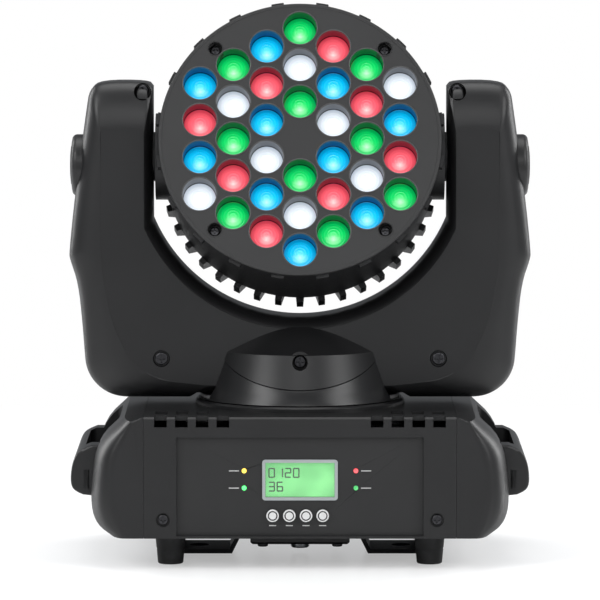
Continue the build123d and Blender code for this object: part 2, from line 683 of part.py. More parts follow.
def inset_path(points, amount):
    """An open run of points moved sideways to its right, with mitred corners."""
    if amount == 0:
        return list(points)
    lines = []
    for (x0, z0), (x1, z1) in zip(points, points[1:]):
        length = math.hypot(x1 - x0, z1 - z0)
        dx, dz = (x1 - x0) / length, (z1 - z0) / length
        lines.append((x0 + dz * amount, z0 - dx * amount, dx, dz))
    moved = [(lines[0][0], lines[0][1])]
    for (ax, az, adx, adz), (bx, bz, bdx, bdz) in zip(lines, lines[1:]):
        cross = adx * bdz - adz * bdx
        if abs(cross) < 1e-3:
            moved.append((bx, bz))
            continue
        run = ((bx - ax) * bdz - (bz - az) * bdx) / cross
        moved.append((ax + adx * run, az + adz * run))
    x1, z1 = points[-1]
    moved.append((x1 + lines[-1][3] * amount, z1 - lines[-1][2] * amount))
    return moved


def yoke_section(t, y, inset=0.0):
    """The yoke's outline between its widest (t = 0) and its flat front (t = 1), at depth y."""
    half = [mix(a, b, t) for a, b in zip(WIDE + WIDE_CORNER + WIDE_FOOT, FLAT + FLAT_CORNER + FLAT_FOOT)]
    crotch_r = CROTCH_R + (CROTCH_FLAT_R - CROTCH_R) * t + inset
    start = (half[0][0], half[0][1] - 50)
    path = inset_path([start] + half + [(0, half[-1][1])], inset)
    inner_x = path[0][0]
    inner_z = TILT_Z - math.sqrt(crotch_r ** 2 - inner_x ** 2)
    side = path[1:1 + len(WIDE)]
    corner = path[1 + len(WIDE):1 + len(WIDE) + 3]
    foot = path[1 + len(WIDE) + 3:-1]

    def flip(point):
        return (-point[0], point[1])

    right = Polyline(*side, corner[0])
    bend = ThreePointArc(*corner)
    bottom = Polyline(corner[2], *foot, *[flip(p) for p in reversed(foot)], flip(corner[2]))
    left_bend = ThreePointArc(*[flip(p) for p in reversed(corner)])
    left = Polyline(flip(corner[0]), *[flip(p) for p in reversed(side)])
    drop_left = Line(flip(side[0]), (-inner_x, inner_z))
    crotch = ThreePointArc((-inner_x, inner_z), (0, TILT_Z - crotch_r), (inner_x, inner_z))
    drop_right = Line((inner_x, inner_z), side[0])
    wire = Wire([*right.edges(), *bend.edges(), *bottom.edges(), *left_bend.edges(),
                 *left.edges(), *drop_left.edges(), *crotch.edges(), *drop_right.edges()])
    return Plane.XZ.offset(-y) * make_face(wire)


BEVEL_STEPS = (0, 30, 60, 90)


def bevel_place(degrees):
    """How far a bevel step is towards the flat front, and how deep it lies."""
    t = 1 - math.cos(math.radians(degrees))
    depth = YOKE_BAND + (YOKE_HALF_DEPTH - YOKE_BAND) * math.sin(math.radians(degrees))
    return t, depth


def yoke_half():
    """The solid front half of the yoke, before it is hollowed."""
    half = extrude(yoke_section(0, 0), dir=(0, -1, 0), amount=YOKE_BAND)
    for low, high in zip(BEVEL_STEPS, BEVEL_STEPS[1:]):
        t0, d0 = bevel_place(low)
        t1, d1 = bevel_place(high)
        half += loft([yoke_section(t0, -d0), yoke_section(t1, -d1)], ruled=True)
    return half


def yoke_hollow():
    """The space inside the front half of the yoke."""
    space = None
    for degrees in BEVEL_STEPS[:-1]:
        t, depth = bevel_place(degrees)
        inside = yoke_section(t, 0, WALL)
        reach = depth - 1.0 if degrees < 60 else depth
        layer = extrude(inside, dir=(0, -1, 0), amount=min(reach, YOKE_HALF_DEPTH - WALL))
        space = layer if space is None else space + layer
    return space


def turret_cone(inset=0.0):
    """The solid of the turret, or the space inside it when inset by its wall."""
    low = TURRET_BOTTOM if inset == 0 else TURRET_BOTTOM - 1
    top = TURRET_TOP_Z + (TURRET_TOP_R - YOKE_HALF_DEPTH) * 0.6
    return turned([(0, low), (TURRET_FOOT_R - inset, low), (TURRET_WAIST_R - inset, TURRET_WAIST_Z),
                   (TURRET_TOP_R - inset, TURRET_TOP_Z - inset * 0.6),
                   (YOKE_HALF_DEPTH - inset, top - inset * 0.6), (0, top - inset * 0.6)])


def above_part_line():
    """All that lies in front of the yoke and above the turret's sloping part line."""
    slope = Box(300, 300, 200, align=(Align.CENTER, Align.CENTER, Align.MIN))
    slope = Pos(0, -TURRET_WAIST_R, PART_LINE_Z) * Rot(PART_LINE_RISE, 0, 0) * slope
    return slope & block(-80, 80, -100, -YOKE_HALF_DEPTH + 1, 90, 200)


def yoke_cover():
    """The front cover of the yoke, with its half of the turret above the part line."""
    cover = yoke_half() - yoke_hollow()
    upper = (turret_cone() - turret_cone(WALL)) & above_part_line()
    cover += upper
    hub_hole = rod_x(HUB_R + 0.8, -ARM_INNER_X - WALL - 6, ARM_INNER_X + WALL + 6, 0, TILT_Z)
    cover -= hub_hole
    cover -= rod_z(30.0, 90, FLANGE_Z + 1)
    for side in (-1, 1):
        cover -= rod_x(SIDE_CAP_R + SEAT, side * 130, side * 160, 0, SIDE_CAP_Z)
        x = side * YOKE_SCREW_X
        cover -= rod_y(5.5, -40, 2.2 - YOKE_HALF_DEPTH, x, YOKE_SCREW_Z)
        cover -= rod_y(1.9, -40, -10, x, YOKE_SCREW_Z)
        top_x = side * YOKE_SCREW_TOP_X
        cover -= rod_y(5.5, -40, -YOKE_TOP_SEAT, top_x, YOKE_SCREW_TOP_Z)
        cover -= rod_y(1.9, -40, -YOKE_TOP_SEAT + WALL, top_x, YOKE_SCREW_TOP_Z)
    cover += rod_y(7.0, -TURRET_TOP_R, -TURRET_SEAT + 2.0, 0, TURRET_SCREW_Z)
    cover -= rod_y(5.0, -80, -TURRET_SEAT, 0, TURRET_SCREW_Z)
    cover -= rod_y(1.9, -80, -TURRET_SEAT + 3.0, 0, TURRET_SCREW_Z)
    return cover


def turret_ring():
    """The lower skirt of the turret, in front of and behind the yoke, on one flat ring."""
    skirt = turret_cone() - turret_cone(WALL)
    shelf = pipe_z(TURRET_FOOT_R - 1.4, 32, TURRET_BOTTOM, YOKE_CENTRE_BOTTOM - SEAT)
    front = above_part_line()
    skirt -= front
    skirt -= mirror(front, Plane.XZ)
    skirt -= block(-90, 90, -YOKE_HALF_DEPTH - SEAT, YOKE_HALF_DEPTH + SEAT,
                   TURRET_BOTTOM + 0.5, 200)
    skirt += shelf
    skirt -= block(-90, 90, -YOKE_HALF_DEPTH - SEAT, YOKE_HALF_DEPTH + SEAT,
                   YOKE_CENTRE_BOTTOM - SEAT, 200)
    corner = block(67.5, 90, -YOKE_HALF_DEPTH - SEAT, YOKE_HALF_DEPTH + SEAT, 102.2, 110)
    skirt -= corner + mirror(corner, Plane.YZ)
    return skirt


def yoke_frame():
    """The folded steel frame inside the yoke that joins the pan shaft to both tilt bearings."""
    x0 = FRAME_PLATE_X
    floor = block(-x0 - SHEET, x0 + SHEET, -19, 19, FLANGE_Z, FLANGE_Z + SHEET)
    floor -= rod_z(PAN_SHAFT_R + SEAT, 90, 130)
    frame = floor
    width = TILT_BEARING_R + 5
    for side in (-1, 1):
        frame += block(side * x0, side * (x0 + SHEET), -19, 19, FLANGE_Z, TILT_Z + width)
        near, far = side * (x0 - 6), side * (x0 + SHEET)
        frame += rod_x(TILT_BEARING_R + FIT + 2.5, near, far, 0, TILT_Z)
        frame -= rod_x(TILT_BEARING_R + FIT, side * (x0 - 7), side * (x0 + SHEET - 1.2), 0, TILT_Z)
        frame -= rod_x(TILT_SHAFT_R + 3, near, far + side, 0, TILT_Z)
    frame -= rod_x(11.5, x0 - 1, x0 + SHEET + 1, 0, TILT_MOTOR_Z)
    return frame


def side_cap():
    """The domed cap on the outside of the right arm, over the end of the tilt shaft."""
    inner = 131.0
    dome = turned([(0, inner), (SIDE_CAP_R, inner), (SIDE_CAP_R, 144.5), (SIDE_CAP_R - 3, 147.2),
                   (12, 148.6), (0, 149.0)])
    dome -= rod_z(SIDE_CAP_R - WALL, inner - 1, 143.5)
    dome -= pipe_z(14.5, 12.5, 148.0, 150)
    return Pos(0, 0, SIDE_CAP_Z) * Rot(0, 90, 0) * dome


def yoke_screws():
    """The screws of both yoke covers: low on the arms, at their tops and in the turret."""
    low_seat = YOKE_HALF_DEPTH - 2.2
    front = [(x, low_seat, YOKE_SCREW_Z) for x in (-YOKE_SCREW_X, YOKE_SCREW_X)]
    front += [(x, YOKE_TOP_SEAT, YOKE_SCREW_TOP_Z) for x in (-YOKE_SCREW_TOP_X, YOKE_SCREW_TOP_X)]
    front += [(0, TURRET_SEAT, TURRET_SCREW_Z)]
    one = screw(9.0, head_r=4.2)
    pieces = [Pos(x, -seat, z) * Rot(90, 0, 0) * one for x, seat, z in front]
    return pieces + [mirror(piece, Plane.XZ) for piece in pieces]


# ---- Head ---------------------------------------------------------------------------------
def lamp_places():
    """Every lamp's colour letter and its (x, y) on the face."""
    places = []
    column_pitch = LAMP_PITCH * math.sqrt(3) / 2
    middle = (len(LAMP_COLUMNS) - 1) / 2
    for i, column in enumerate(LAMP_COLUMNS):
        x = (i - middle) * column_pitch
        top = (len(column) - 1) / 2 * LAMP_PITCH
        for j, letter in enumerate(column):
            if letter != "-":
                places.append((letter, x, top - j * LAMP_PITCH))
    return places


def face_plate():
    """The round face with a well for each lamp and four screw recesses."""
    plate = turned([(0, FACE_Z - WALL), (FACE_R, FACE_Z - WALL), (FACE_R, FACE_Z - 0.8),
                    (FACE_R - 0.8, FACE_Z), (0, FACE_Z)])
    wells = [rod_z(WELL_R + 1.2, LENS_Z + 0.6, FACE_Z - WALL + 0.1, x, y) for _, x, y in lamp_places()]
    holes = [rod_z(WELL_R, LENS_Z - 1, FACE_Z + 1, x, y) for _, x, y in lamp_places()]
    inside = rod_z(SHELL_R - WALL - SEAT, 0, FACE_Z - WALL + 0.1)
    plate = plate + [well & inside for well in wells] - holes
    for x, y in face_screw_places():
        plate += rod_z(5.8, FACE_Z - 9, FACE_Z - WALL + 0.1, x, y) & inside
        plate -= rod_z(4.6, FACE_Z - 7, FACE_Z + 1, x, y)
        plate -= rod_z(1.9, FACE_Z - 10, FACE_Z, x, y)
    return HEAD * plate


def face_screw_places():
    """The four screws round the face."""
    angle = math.radians(FACE_SCREW_DEG)
    r = FACE_SCREW_R - 3.0
    return [(sx * r * math.cos(angle), sy * r * math.sin(angle)) for sx in (-1, 1) for sy in (-1, 1)]


def head_shell():
    """The drum between the face and the heat sink, with twenty lugs round its front edge."""
    front = FACE_Z - WALL - 0.1
    back = FACE_Z - 9.0
    shell = pipe_z(SHELL_R, SHELL_R - WALL, SHELL_BACK, front)
    lug = block(SHELL_R - 1, LUG_R + 3, -LUG_WIDTH / 2, LUG_WIDTH / 2, back, front)
    lug &= rod_z(LUG_R, back, front)
    for i in range(LUG_COUNT):
        shell += Rot(0, 0, 360 / LUG_COUNT * (i + 0.5)) * lug
    return HEAD * shell


def trunnion():
    """The right-hand pad and hollow stub shaft that the head tilts on."""
    pad = rod_x(PAD_R, 70, PAD_X) - rod_z(SHELL_R + SEAT, -60, 60)
    pad &= block(60, 100, -PAD_R, PAD_R, SHELL_BACK + SEAT, PAD_R)
    pad += rod_x(HUB_R, PAD_X - 1, FRAME_PLATE_X - 6.6)
    pad += rod_x(TILT_SHAFT_R, PAD_X - 1, TILT_PULLEY_X + PULLEY_WIDTH + 2)
    pad -= rod_x(6.0, 60, 200)
    return HEAD * pad


def lens():
    """One collimator lens: a dome on a flange over a cone that reaches down to its emitter."""
    base_z = CORE_Z + 4.0
    foot_r = 4.2
    dome = [(LENS_R * math.sin(a), LENS_Z + LENS_DOME * (math.cos(a) - math.cos(math.pi / 2)))
            for a in (math.pi / 2, math.pi / 3, math.pi / 6)]
    profile = [(0, base_z), (foot_r, base_z), (LENS_R - 1.6, LENS_Z - 2.2), (LENS_R, LENS_Z - 2.2)]
    return turned(profile + dome + [(0, LENS_Z + LENS_DOME)])


def lenses(letter):
    """All lenses that show one colour."""
    one = lens()
    return [HEAD * Pos(x, y, 0) * one for colour, x, y in lamp_places() if colour == letter]


def lens_holder():
    """The plate that holds every lens over its emitter."""
    z1 = LENS_Z - 2.2 - SEAT
    plate = rod_z(SHELL_R - WALL - 1, z1 - 3.0, z1)
    holes = [rod_z(LENS_R - 1.4, z1 - 4, z1 + 1, x, y) for _, x, y in lamp_places()]
    plate -= holes
    for i in range(6):
        a = math.radians(60 * i)
        plate += rod_z(2.0, CORE_Z + 2.0, z1 - 2.9, 81.5 * math.cos(a), 81.5 * math.sin(a))
    return HEAD * plate


def lamp_board():
    """The metal-core board that carries the emitters."""
    board = rod_z(SHELL_R - WALL - 1, CORE_Z, CORE_Z + 1.8)
    return HEAD * board


def emitters():
    """Thirty-six power emitters."""
    top = CORE_Z + 1.8
    one = block(-2.2, 2.2, -2.2, 2.2, top, top + 0.9) + rod_z(1.5, top + 0.9, top + 1.9)
    return [HEAD * Pos(x, y, 0) * one for _, x, y in lamp_places()]


def heat_sink():
    """The cast heat sink: a thick plate with forty tapered fins round the back."""
    core = rod_z(SHELL_R - WALL - SEAT, 0, CORE_Z)
    inside = SHELL_R - WALL - SEAT
    envelope = turned([(FIN_ROOT_R, 1), (inside, 1), (inside, SHELL_BACK - SEAT),
                       (FIN_TIP_R, SHELL_BACK - SEAT), (FIN_TIP_R, -37), (70, FIN_BACK),
                       (FIN_ROOT_R, FIN_BACK)])
    plan = make_face(Polyline((FIN_ROOT_R - 2, -FIN_ROOT_WIDTH / 2), (74, -FIN_ROOT_WIDTH / 2),
                              (FIN_TIP_R + 1, -FIN_TIP_WIDTH / 2), (FIN_TIP_R + 1, FIN_TIP_WIDTH / 2),
                              (74, FIN_ROOT_WIDTH / 2), (FIN_ROOT_R - 2, FIN_ROOT_WIDTH / 2),
                              close=True))
    fin = Pos(0, 0, FIN_BACK - 1) * extrude(plan, amount=-FIN_BACK + 2) & envelope
    fins = [Rot(0, 0, 90 + 360 / FIN_COUNT * i) * fin for i in range(FIN_COUNT)]
    sink = core + fins
    return HEAD * sink


def fan_frame():
    """The square frame of the cooling fan with its motor cup and four spokes."""
    frame = block(-FAN_HALF, FAN_HALF, -FAN_HALF, FAN_HALF, FAN_BACK, FAN_FRONT)
    frame = fillet(frame.edges().filter_by(Axis.Z), 6.0)
    frame -= rod_z(FAN_ROTOR_R + 1.4, FAN_BACK - 1, FAN_FRONT + 1)
    cup = rod_z(FAN_HUB_R, FAN_FRONT - 3, FAN_FRONT)
    spoke = block(FAN_HUB_R - 3, FAN_ROTOR_R + 2.5, -2, 2, FAN_FRONT - 3, FAN_FRONT)
    frame += cup
    for i in range(4):
        frame += Rot(0, 0, 90 * i + 45) * spoke
    frame += pipe_z(4.5, 2.2, FAN_FRONT - 12, FAN_FRONT - 2.9)
    for sx in (-1, 1):
        for sy in (-1, 1):
            frame += rod_z(3.5, FAN_FRONT - 1, -SEAT, sx * FAN_POST, sy * FAN_POST)
            frame -= rod_z(1.9, FAN_BACK - 1, FAN_FRONT - 5, sx * FAN_SCREW, sy * FAN_SCREW)
    return HEAD * frame


def fan_rotor():
    """The fan's hub, blades and shaft."""
    z0, z1 = FAN_BACK + 2.5, FAN_FRONT - 4.5
    hub = rod_z(FAN_HUB_R, z0, z1) - rod_z(FAN_HUB_R - 2, z0 + 2.5, z1 + 1)
    hub += rod_z(2.2 - FIT, z0 + 1, FAN_FRONT - 4)
    blade = Box(FAN_ROTOR_R - FAN_HUB_R + 1.5, 1.6, 19, align=(Align.MIN, Align.CENTER, Align.CENTER))
    blade = Pos(FAN_HUB_R - 1.5, 0, (z0 + z1) / 2) * Rot(48, 0, 0) * blade
    blade &= pipe_z(FAN_ROTOR_R, FAN_HUB_R - 1, z0, z1)
    blades = [Rot(0, 0, 360 / FAN_BLADES * i) * blade for i in range(FAN_BLADES)]
    return HEAD * (hub + blades)


def rear_cover():
    """The round cover behind the fan, with a grille of curved slots."""
    z1 = FIN_BACK - SEAT
    z0 = z1 - REAR_COVER_THICK
    cover = turned([(0, z0), (REAR_COVER_R - 3, z0), (REAR_COVER_R, z0 + 3), (REAR_COVER_R, z1), (0, z1)])
    for r in (12, 19, 26, 33):
        slots = pipe_z(r + 2.2, r - 2.2, z0 - 1, z1 + 1)
        bars = [Rot(0, 0, 45 * k) * block(-50, 50, -2.0, 2.0, z0 - 2, z1 + 2) for k in range(4)]
        cover -= slots - bars
    for sx in (-1, 1):
        for sy in (-1, 1):
            cover += rod_z(4.0, z0 + 1, FAN_BACK - SEAT, sx * FAN_SCREW, sy * FAN_SCREW)
            cover -= rod_z(1.9, z0 - 2, FAN_BACK + 2, sx * FAN_SCREW, sy * FAN_SCREW)
    return HEAD * cover


def head_screws():
    """The face screws in their recesses, and the four long screws of the rear cover."""
    pieces = [HEAD * Pos(x, y, FACE_Z - 7) * screw(7.0) for x, y in face_screw_places()]
    back = FIN_BACK - SEAT - REAR_COVER_THICK
    for sx in (-1, 1):
        for sy in (-1, 1):
            place = Pos(sx * FAN_SCREW, sy * FAN_SCREW, back) * Rot(180, 0, 0)
            pieces.append(HEAD * place * screw(24.0))
    return pieces


# ---- Build every node ---------------------------------------------------------------------
def build():
    """Model every sub-part and write it to its own file."""
    os.makedirs("parts", exist_ok=True)
    save("base_front_cover", base_front_cover())
    save("base_top_cover", base_top_cover())
    save("base_rear_panel", base_rear_panel())
    save("base_screws", base_screws() + hatch_screws())
    save("end_caps", both_sides(end_cap()))
    save("feet", feet())
    save("hanging_brackets", both_sides(bracket()))
    save("quarter_turn_locks", quarter_turn_locks())
    save("bottom_hatch", bottom_hatch())
    save("safety_eye", safety_eye())
    save("chassis", chassis())
    save("control_panel", control_panel())
    save("screen_bezel", screen_bezel())
    save("screen_window", screen_window())
    save("screen_module", screen_module())
    save("display_board", display_board())
    for number, x in enumerate(button_positions(), 1):
        save("menu_button_" + str(number), menu_button(x))
    save("indicator_lights", [indicator(x, z) for x in (-LED_X, LED_X) for z in (LED_LOW_Z, LED_HIGH_Z)])

    save("bearing_plate", bearing_plate())
    outer, inner, balls = bearing(PAN_BEARING_R, PAN_SHAFT_R + FIT, PAN_BEARING_WIDTH)
    place = Pos(0, 0, PLATE_Z - PAN_BEARING_WIDTH)
    save("pan_bearing_outer", [place * outer] + [place * ball for ball in balls])
    save("pan_bearing_inner", place * inner)
    save("pan_motor", Pos(PAN_MOTOR_X, 0, PLATE_Z) * stepper())
    save("pan_motor_pulley", Pos(PAN_MOTOR_X, 0, PLATE_Z) * motor_pulley(-6, PULLEY_Z - PLATE_Z))
    save("pan_pulley", big_pulley(PAN_PULLEY_R, PAN_SHAFT_R + 3 + FIT, PULLEY_Z, 60))
    save("pan_belt", belt(PAN_PULLEY_R, MOTOR_PULLEY_R, PAN_MOTOR_X, PULLEY_Z))
    save("pan_shaft", pan_shaft())
    save("pan_collar", pan_collar())
    save("power_supply", power_supply())
    save("driver_board", driver_board())
    save("power_inlet", power_inlet())
    save("data_sockets", [data_socket(REAR_SOCKETS["dmx_in"], True),
                          data_socket(REAR_SOCKETS["dmx_out"], False)])

    cover = yoke_cover()
    save("yoke_front_cover", cover)
    save("yoke_rear_cover", mirror(cover, Plane.XZ))
    save("turret_ring", turret_ring())
    save("yoke_frame", yoke_frame())
    save("side_caps", both_sides(side_cap()))
    save("yoke_screws", yoke_screws())
    outer, inner, balls = bearing(TILT_BEARING_R, TILT_SHAFT_R + FIT, 6.0)
    sides = [Pos(FRAME_PLATE_X - 5.4, 0, TILT_Z) * Rot(0, 90, 0),
             Pos(5.4 - FRAME_PLATE_X, 0, TILT_Z) * Rot(0, -90, 0)]
    save("tilt_bearing_outers", [s * shape for s in sides for shape in [outer] + balls])
    save("tilt_bearing_inners", [s * inner for s in sides])
    motor_place = Pos(FRAME_PLATE_X, 0, TILT_MOTOR_Z) * Rot(0, 90, 0)
    save("tilt_motor", motor_place * stepper())
    save("tilt_motor_pulley", motor_place * motor_pulley(-6, TILT_PULLEY_X - FRAME_PLATE_X))
    tilt_place = Pos(0, 0, TILT_Z) * Rot(0, 90, 0)
    save("tilt_pulley", tilt_place * big_pulley(TILT_PULLEY_R, TILT_SHAFT_R + FIT, TILT_PULLEY_X, 44))
    save("tilt_belt", tilt_place * belt(TILT_PULLEY_R, MOTOR_PULLEY_R, TILT_Z - TILT_MOTOR_Z,
                                        TILT_PULLEY_X))

    save("face_plate", face_plate())
    save("head_shell", head_shell())
    save("trunnions", both_sides(trunnion()))
    for letter, name in LAMP_NAMES.items():
        save("lenses_" + name, lenses(letter))
    save("lens_holder", lens_holder())
    save("lamp_board", [lamp_board()] + emitters())
    save("heat_sink", heat_sink())
    save("fan_frame", fan_frame())
    save("fan_rotor", fan_rotor())
    save("rear_cover", rear_cover())
    save("head_screws", head_screws())


build()
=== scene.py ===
"""The looks of a 36-lamp moving head light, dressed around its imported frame."""

from __future__ import annotations

import logging
import math
from dataclasses import dataclass, field
from enum import Enum
from typing import Callable, Sequence

import bmesh
import bpy
from mathutils import Matrix, Vector

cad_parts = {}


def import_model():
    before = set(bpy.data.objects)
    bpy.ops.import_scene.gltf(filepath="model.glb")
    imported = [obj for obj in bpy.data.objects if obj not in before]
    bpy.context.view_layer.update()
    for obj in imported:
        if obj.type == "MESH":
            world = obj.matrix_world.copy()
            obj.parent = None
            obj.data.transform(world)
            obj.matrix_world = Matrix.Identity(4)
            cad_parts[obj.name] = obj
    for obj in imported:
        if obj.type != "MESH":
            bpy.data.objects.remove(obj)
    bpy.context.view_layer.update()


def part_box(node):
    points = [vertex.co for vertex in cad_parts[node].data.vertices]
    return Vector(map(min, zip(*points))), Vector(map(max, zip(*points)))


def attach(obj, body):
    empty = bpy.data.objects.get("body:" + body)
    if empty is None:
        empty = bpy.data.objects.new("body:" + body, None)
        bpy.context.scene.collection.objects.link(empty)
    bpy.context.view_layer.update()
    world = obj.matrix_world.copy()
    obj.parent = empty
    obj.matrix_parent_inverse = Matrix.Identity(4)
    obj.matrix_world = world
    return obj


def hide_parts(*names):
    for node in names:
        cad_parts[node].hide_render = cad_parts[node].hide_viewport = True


LOG = logging.getLogger("moving_head")
MM = 0.001
Point2 = tuple[float, float]
Point3 = tuple[float, float, float]
TILT_HEIGHT = 257.5
REST_TILT = 20.0
HEAD_PLACE = (Matrix.Translation((0, 0, TILT_HEIGHT * MM))
              @ Matrix.Rotation(math.radians(90 - REST_TILT), 4, "X"))


# ---- Shader maths --------------------------------------------------------------------------
class Signal:
    """A shader socket that takes part in Python expressions."""

    def __init__(self, sheet: Sheet, socket: bpy.types.NodeSocket) -> None:
        """Keeps the socket and the sheet that it is on."""
        self.sheet = sheet
        self.socket = socket

    def _math(self, operation: str, *values: float | Signal) -> Signal:
        """Adds one Math node.

        Args:
            operation: The Math node's operation.
            values: Its inputs in order.

        Returns:
            The result.
        """
        return self.sheet.node("ShaderNodeMath", {"operation": operation}, dict(enumerate(values)))

    def __add__(self, other: float | Signal) -> Signal:
        """Adds two values."""
        return self._math("ADD", self, other)

    __radd__ = __add__

    def __mul__(self, other: float | Signal) -> Signal:
        """Multiplies two values."""
        return self._math("MULTIPLY", self, other)

    __rmul__ = __mul__

    def __sub__(self, other: float | Signal) -> Signal:
        """Takes a value away."""
        return self._math("SUBTRACT", self, other)

    def __rsub__(self, other: float | Signal) -> Signal:
        """Is taken away from a value."""
        return self._math("SUBTRACT", other, self)

    def __pow__(self, other: float | Signal) -> Signal:
        """Raises to a power."""
        return self._math("POWER", self, other)

    def sine(self) -> Signal:
        """The sine of an angle in radians."""
        return self._math("SINE", self)

    def over(self, limit: float) -> Signal:
        """One where the value is greater than a limit, else zero."""
        return self._math("GREATER_THAN", self, limit)

    def span(self, low: float, high: float) -> Signal:
        """Zero at low and below, one at high and above, straight in between."""
        settings = {"clamp": True}
        inputs = {"Value": self, "From Min": low, "From Max": high}
        return self.sheet.node("ShaderNodeMapRange", settings, inputs)


class Sheet:
    """A material's or a world's node tree."""

    def __init__(self, tree: bpy.types.NodeTree) -> None:
        """Empties the tree and keeps it."""
        self.tree = tree
        tree.nodes.clear()

    def node(self, kind: str, settings: dict | None = None, inputs: dict | None = None,
             output: int | str = 0) -> Signal:
        """Adds a node.

        Args:
            kind: The node's type.
            settings: Its properties, or "stops" for a colour ramp.
            inputs: Values or signals by socket name or number.
            output: Which output to return.

        Returns:
            The output as a signal.
        """
        made = self.tree.nodes.new(kind)
        for name, value in (settings or {}).items():
            if name == "stops":
                self._stops(made.color_ramp, value)
            else:
                setattr(made, name, value)
        for name, value in (inputs or {}).items():
            if isinstance(value, Signal):
                self.tree.links.new(value.socket, made.inputs[name])
            else:
                made.inputs[name].default_value = value
        return Signal(self, made.outputs[output])

    @staticmethod
    def _stops(ramp: bpy.types.ColorRamp, stops: Sequence[tuple[float, Sequence[float]]]) -> None:
        """Sets a ramp's stops from (place, colour) pairs."""
        while len(ramp.elements) < len(stops):
            ramp.elements.new(0.5)
        for element, (place, colour) in zip(ramp.elements, stops):
            element.position = place
            element.color = (*colour[:3], 1.0)

    def mix(self, factor: float | Signal, low: Sequence[float] | Signal,
            high: Sequence[float] | Signal) -> Signal:
        """Mixes two colours."""
        low = low if isinstance(low, Signal) else (*low[:3], 1.0)
        high = high if isinstance(high, Signal) else (*high[:3], 1.0)
        return self.node("ShaderNodeMix", {"data_type": "RGBA"}, {0: factor, 6: low, 7: high}, 2)

    def place(self) -> Signal:
        """The place on the object, in metres."""
        return self.node("ShaderNodeTexCoord", output="Object")

    def noise(self, size: float, detail: float = 2.0, where: Signal | None = None) -> Signal:
        """Noise whose features are about the given size in millimetres."""
        inputs = {"Vector": where or self.place(), "Scale": 1000.0 / size, "Detail": detail}
        return self.node("ShaderNodeTexNoise", inputs=inputs)

    def cells(self, size: float) -> Signal:
        """Distance to the nearest of a scatter of points about a size apart in millimetres."""
        return self.node("ShaderNodeTexVoronoi", inputs={"Vector": self.place(), "Scale": 1000.0 / size})

    def bump(self, height: Signal, depth: float, strength: float = 1.0) -> Signal:
        """A bump from a height of zero to one, whose depth is in millimetres."""
        inputs = {"Height": height, "Distance": depth * MM, "Strength": strength}
        return self.node("ShaderNodeBump", inputs=inputs)

    def surface(self, constants: dict, links: dict) -> None:
        """Ends the tree in a Principled shader.

        Args:
            constants: What is the same all over, by socket name.
            links: What changes over the surface, by socket name.
        """
        shader = self.node("ShaderNodeBsdfPrincipled", inputs={**constants, **links})
        self.node_output(shader)

    def node_output(self, shader: Signal) -> None:
        """Connects a shader to the material's output."""
        made = self.tree.nodes.new("ShaderNodeOutputMaterial")
        self.tree.links.new(shader.socket, made.inputs["Surface"])


# ---- Finishes ------------------------------------------------------------------------------
@dataclass(frozen=True)
class Finish:
    """What every finish has: a name and a way to build its material."""

    name: str

    def material(self) -> bpy.types.Material:
        """Builds the material, or returns the one built before."""
        found = bpy.data.materials.get(self.name)
        if found is None:
            found = bpy.data.materials.new(self.name)
            found.use_nodes = True
            self.draw(Sheet(found.node_tree))
        return found

    def draw(self, sheet: Sheet) -> None:
        """Draws the node tree."""
        raise NotImplementedError


@dataclass(frozen=True)
class MouldedPlastic(Finish):
    """Black plastic from a spark-eroded mould: a fine grain and faint flow marks."""

    colour: Point3 = (0.0065, 0.0065, 0.007)
    light: Point3 = (0.0095, 0.0095, 0.0102)
    roughness: float = 0.4
    grain: float = 0.35
    depth: float = 0.012
    coat: float = 0.0
    specular: float = 0.5

    def draw(self, sheet: Sheet) -> None:
        """Draws the node tree."""
        flow = sheet.noise(38.0, 4.0)
        grain = sheet.noise(self.grain, 3.0)
        pits = sheet.cells(self.grain * 1.7)
        colour = sheet.mix(flow.span(0.3, 0.7) * 0.7 + grain * 0.3, self.colour, self.light)
        rough = self.roughness + (flow - 0.5) * 0.08 + (grain - 0.5) * 0.1
        height = grain * 0.65 + pits * 0.35
        constants = {"Coat Weight": self.coat, "Coat Roughness": 0.25,
                     "Specular IOR Level": self.specular}
        sheet.surface(constants, {"Base Color": colour, "Roughness": rough,
                                  "Normal": sheet.bump(height, self.depth)})


@dataclass(frozen=True)
class PowderCoat(Finish):
    """Powder-coated metal: a pebbled skin with small glossy crowns."""

    colour: Point3 = (0.007, 0.007, 0.0075)
    light: Point3 = (0.013, 0.013, 0.0142)
    roughness: float = 0.45
    pebble: float = 0.9

    def draw(self, sheet: Sheet) -> None:
        """Draws the node tree."""
        pebble = sheet.cells(self.pebble)
        fine = sheet.noise(self.pebble * 0.4, 3.0)
        broad = sheet.noise(25.0, 3.0)
        colour = sheet.mix(pebble.span(0.1, 0.8) * 0.6 + broad * 0.4, self.light, self.colour)
        rough = self.roughness + pebble * 0.15 + (broad - 0.5) * 0.1
        height = (1 - pebble) * 0.8 + fine * 0.2
        sheet.surface({"Specular IOR Level": 0.45},
                      {"Base Color": colour, "Roughness": rough, "Normal": sheet.bump(height, 0.03)})


@dataclass(frozen=True)
class WorkedMetal(Finish):
    """Bare metal with fine tool marks along one axis."""

    colour: Point3 = (0.55, 0.56, 0.58)
    roughness: float = 0.3
    along: Point3 = (1.0, 1.0, 0.03)

    def draw(self, sheet: Sheet) -> None:
        """Draws the node tree."""
        stretched = sheet.node("ShaderNodeMapping", inputs={"Vector": sheet.place(), "Scale": self.along})
        marks = sheet.noise(0.5, 3.0, stretched)
        broad = sheet.noise(14.0, 3.0)
        dark = tuple(c * 0.72 for c in self.colour)
        colour = sheet.mix(marks * 0.6 + broad * 0.4, dark, self.colour)
        rough = self.roughness + (marks - 0.5) * 0.2 + (broad - 0.5) * 0.12
        sheet.surface({"Metallic": 1.0}, {"Base Color": colour, "Roughness": rough,
                                          "Normal": sheet.bump(marks, 0.006)})


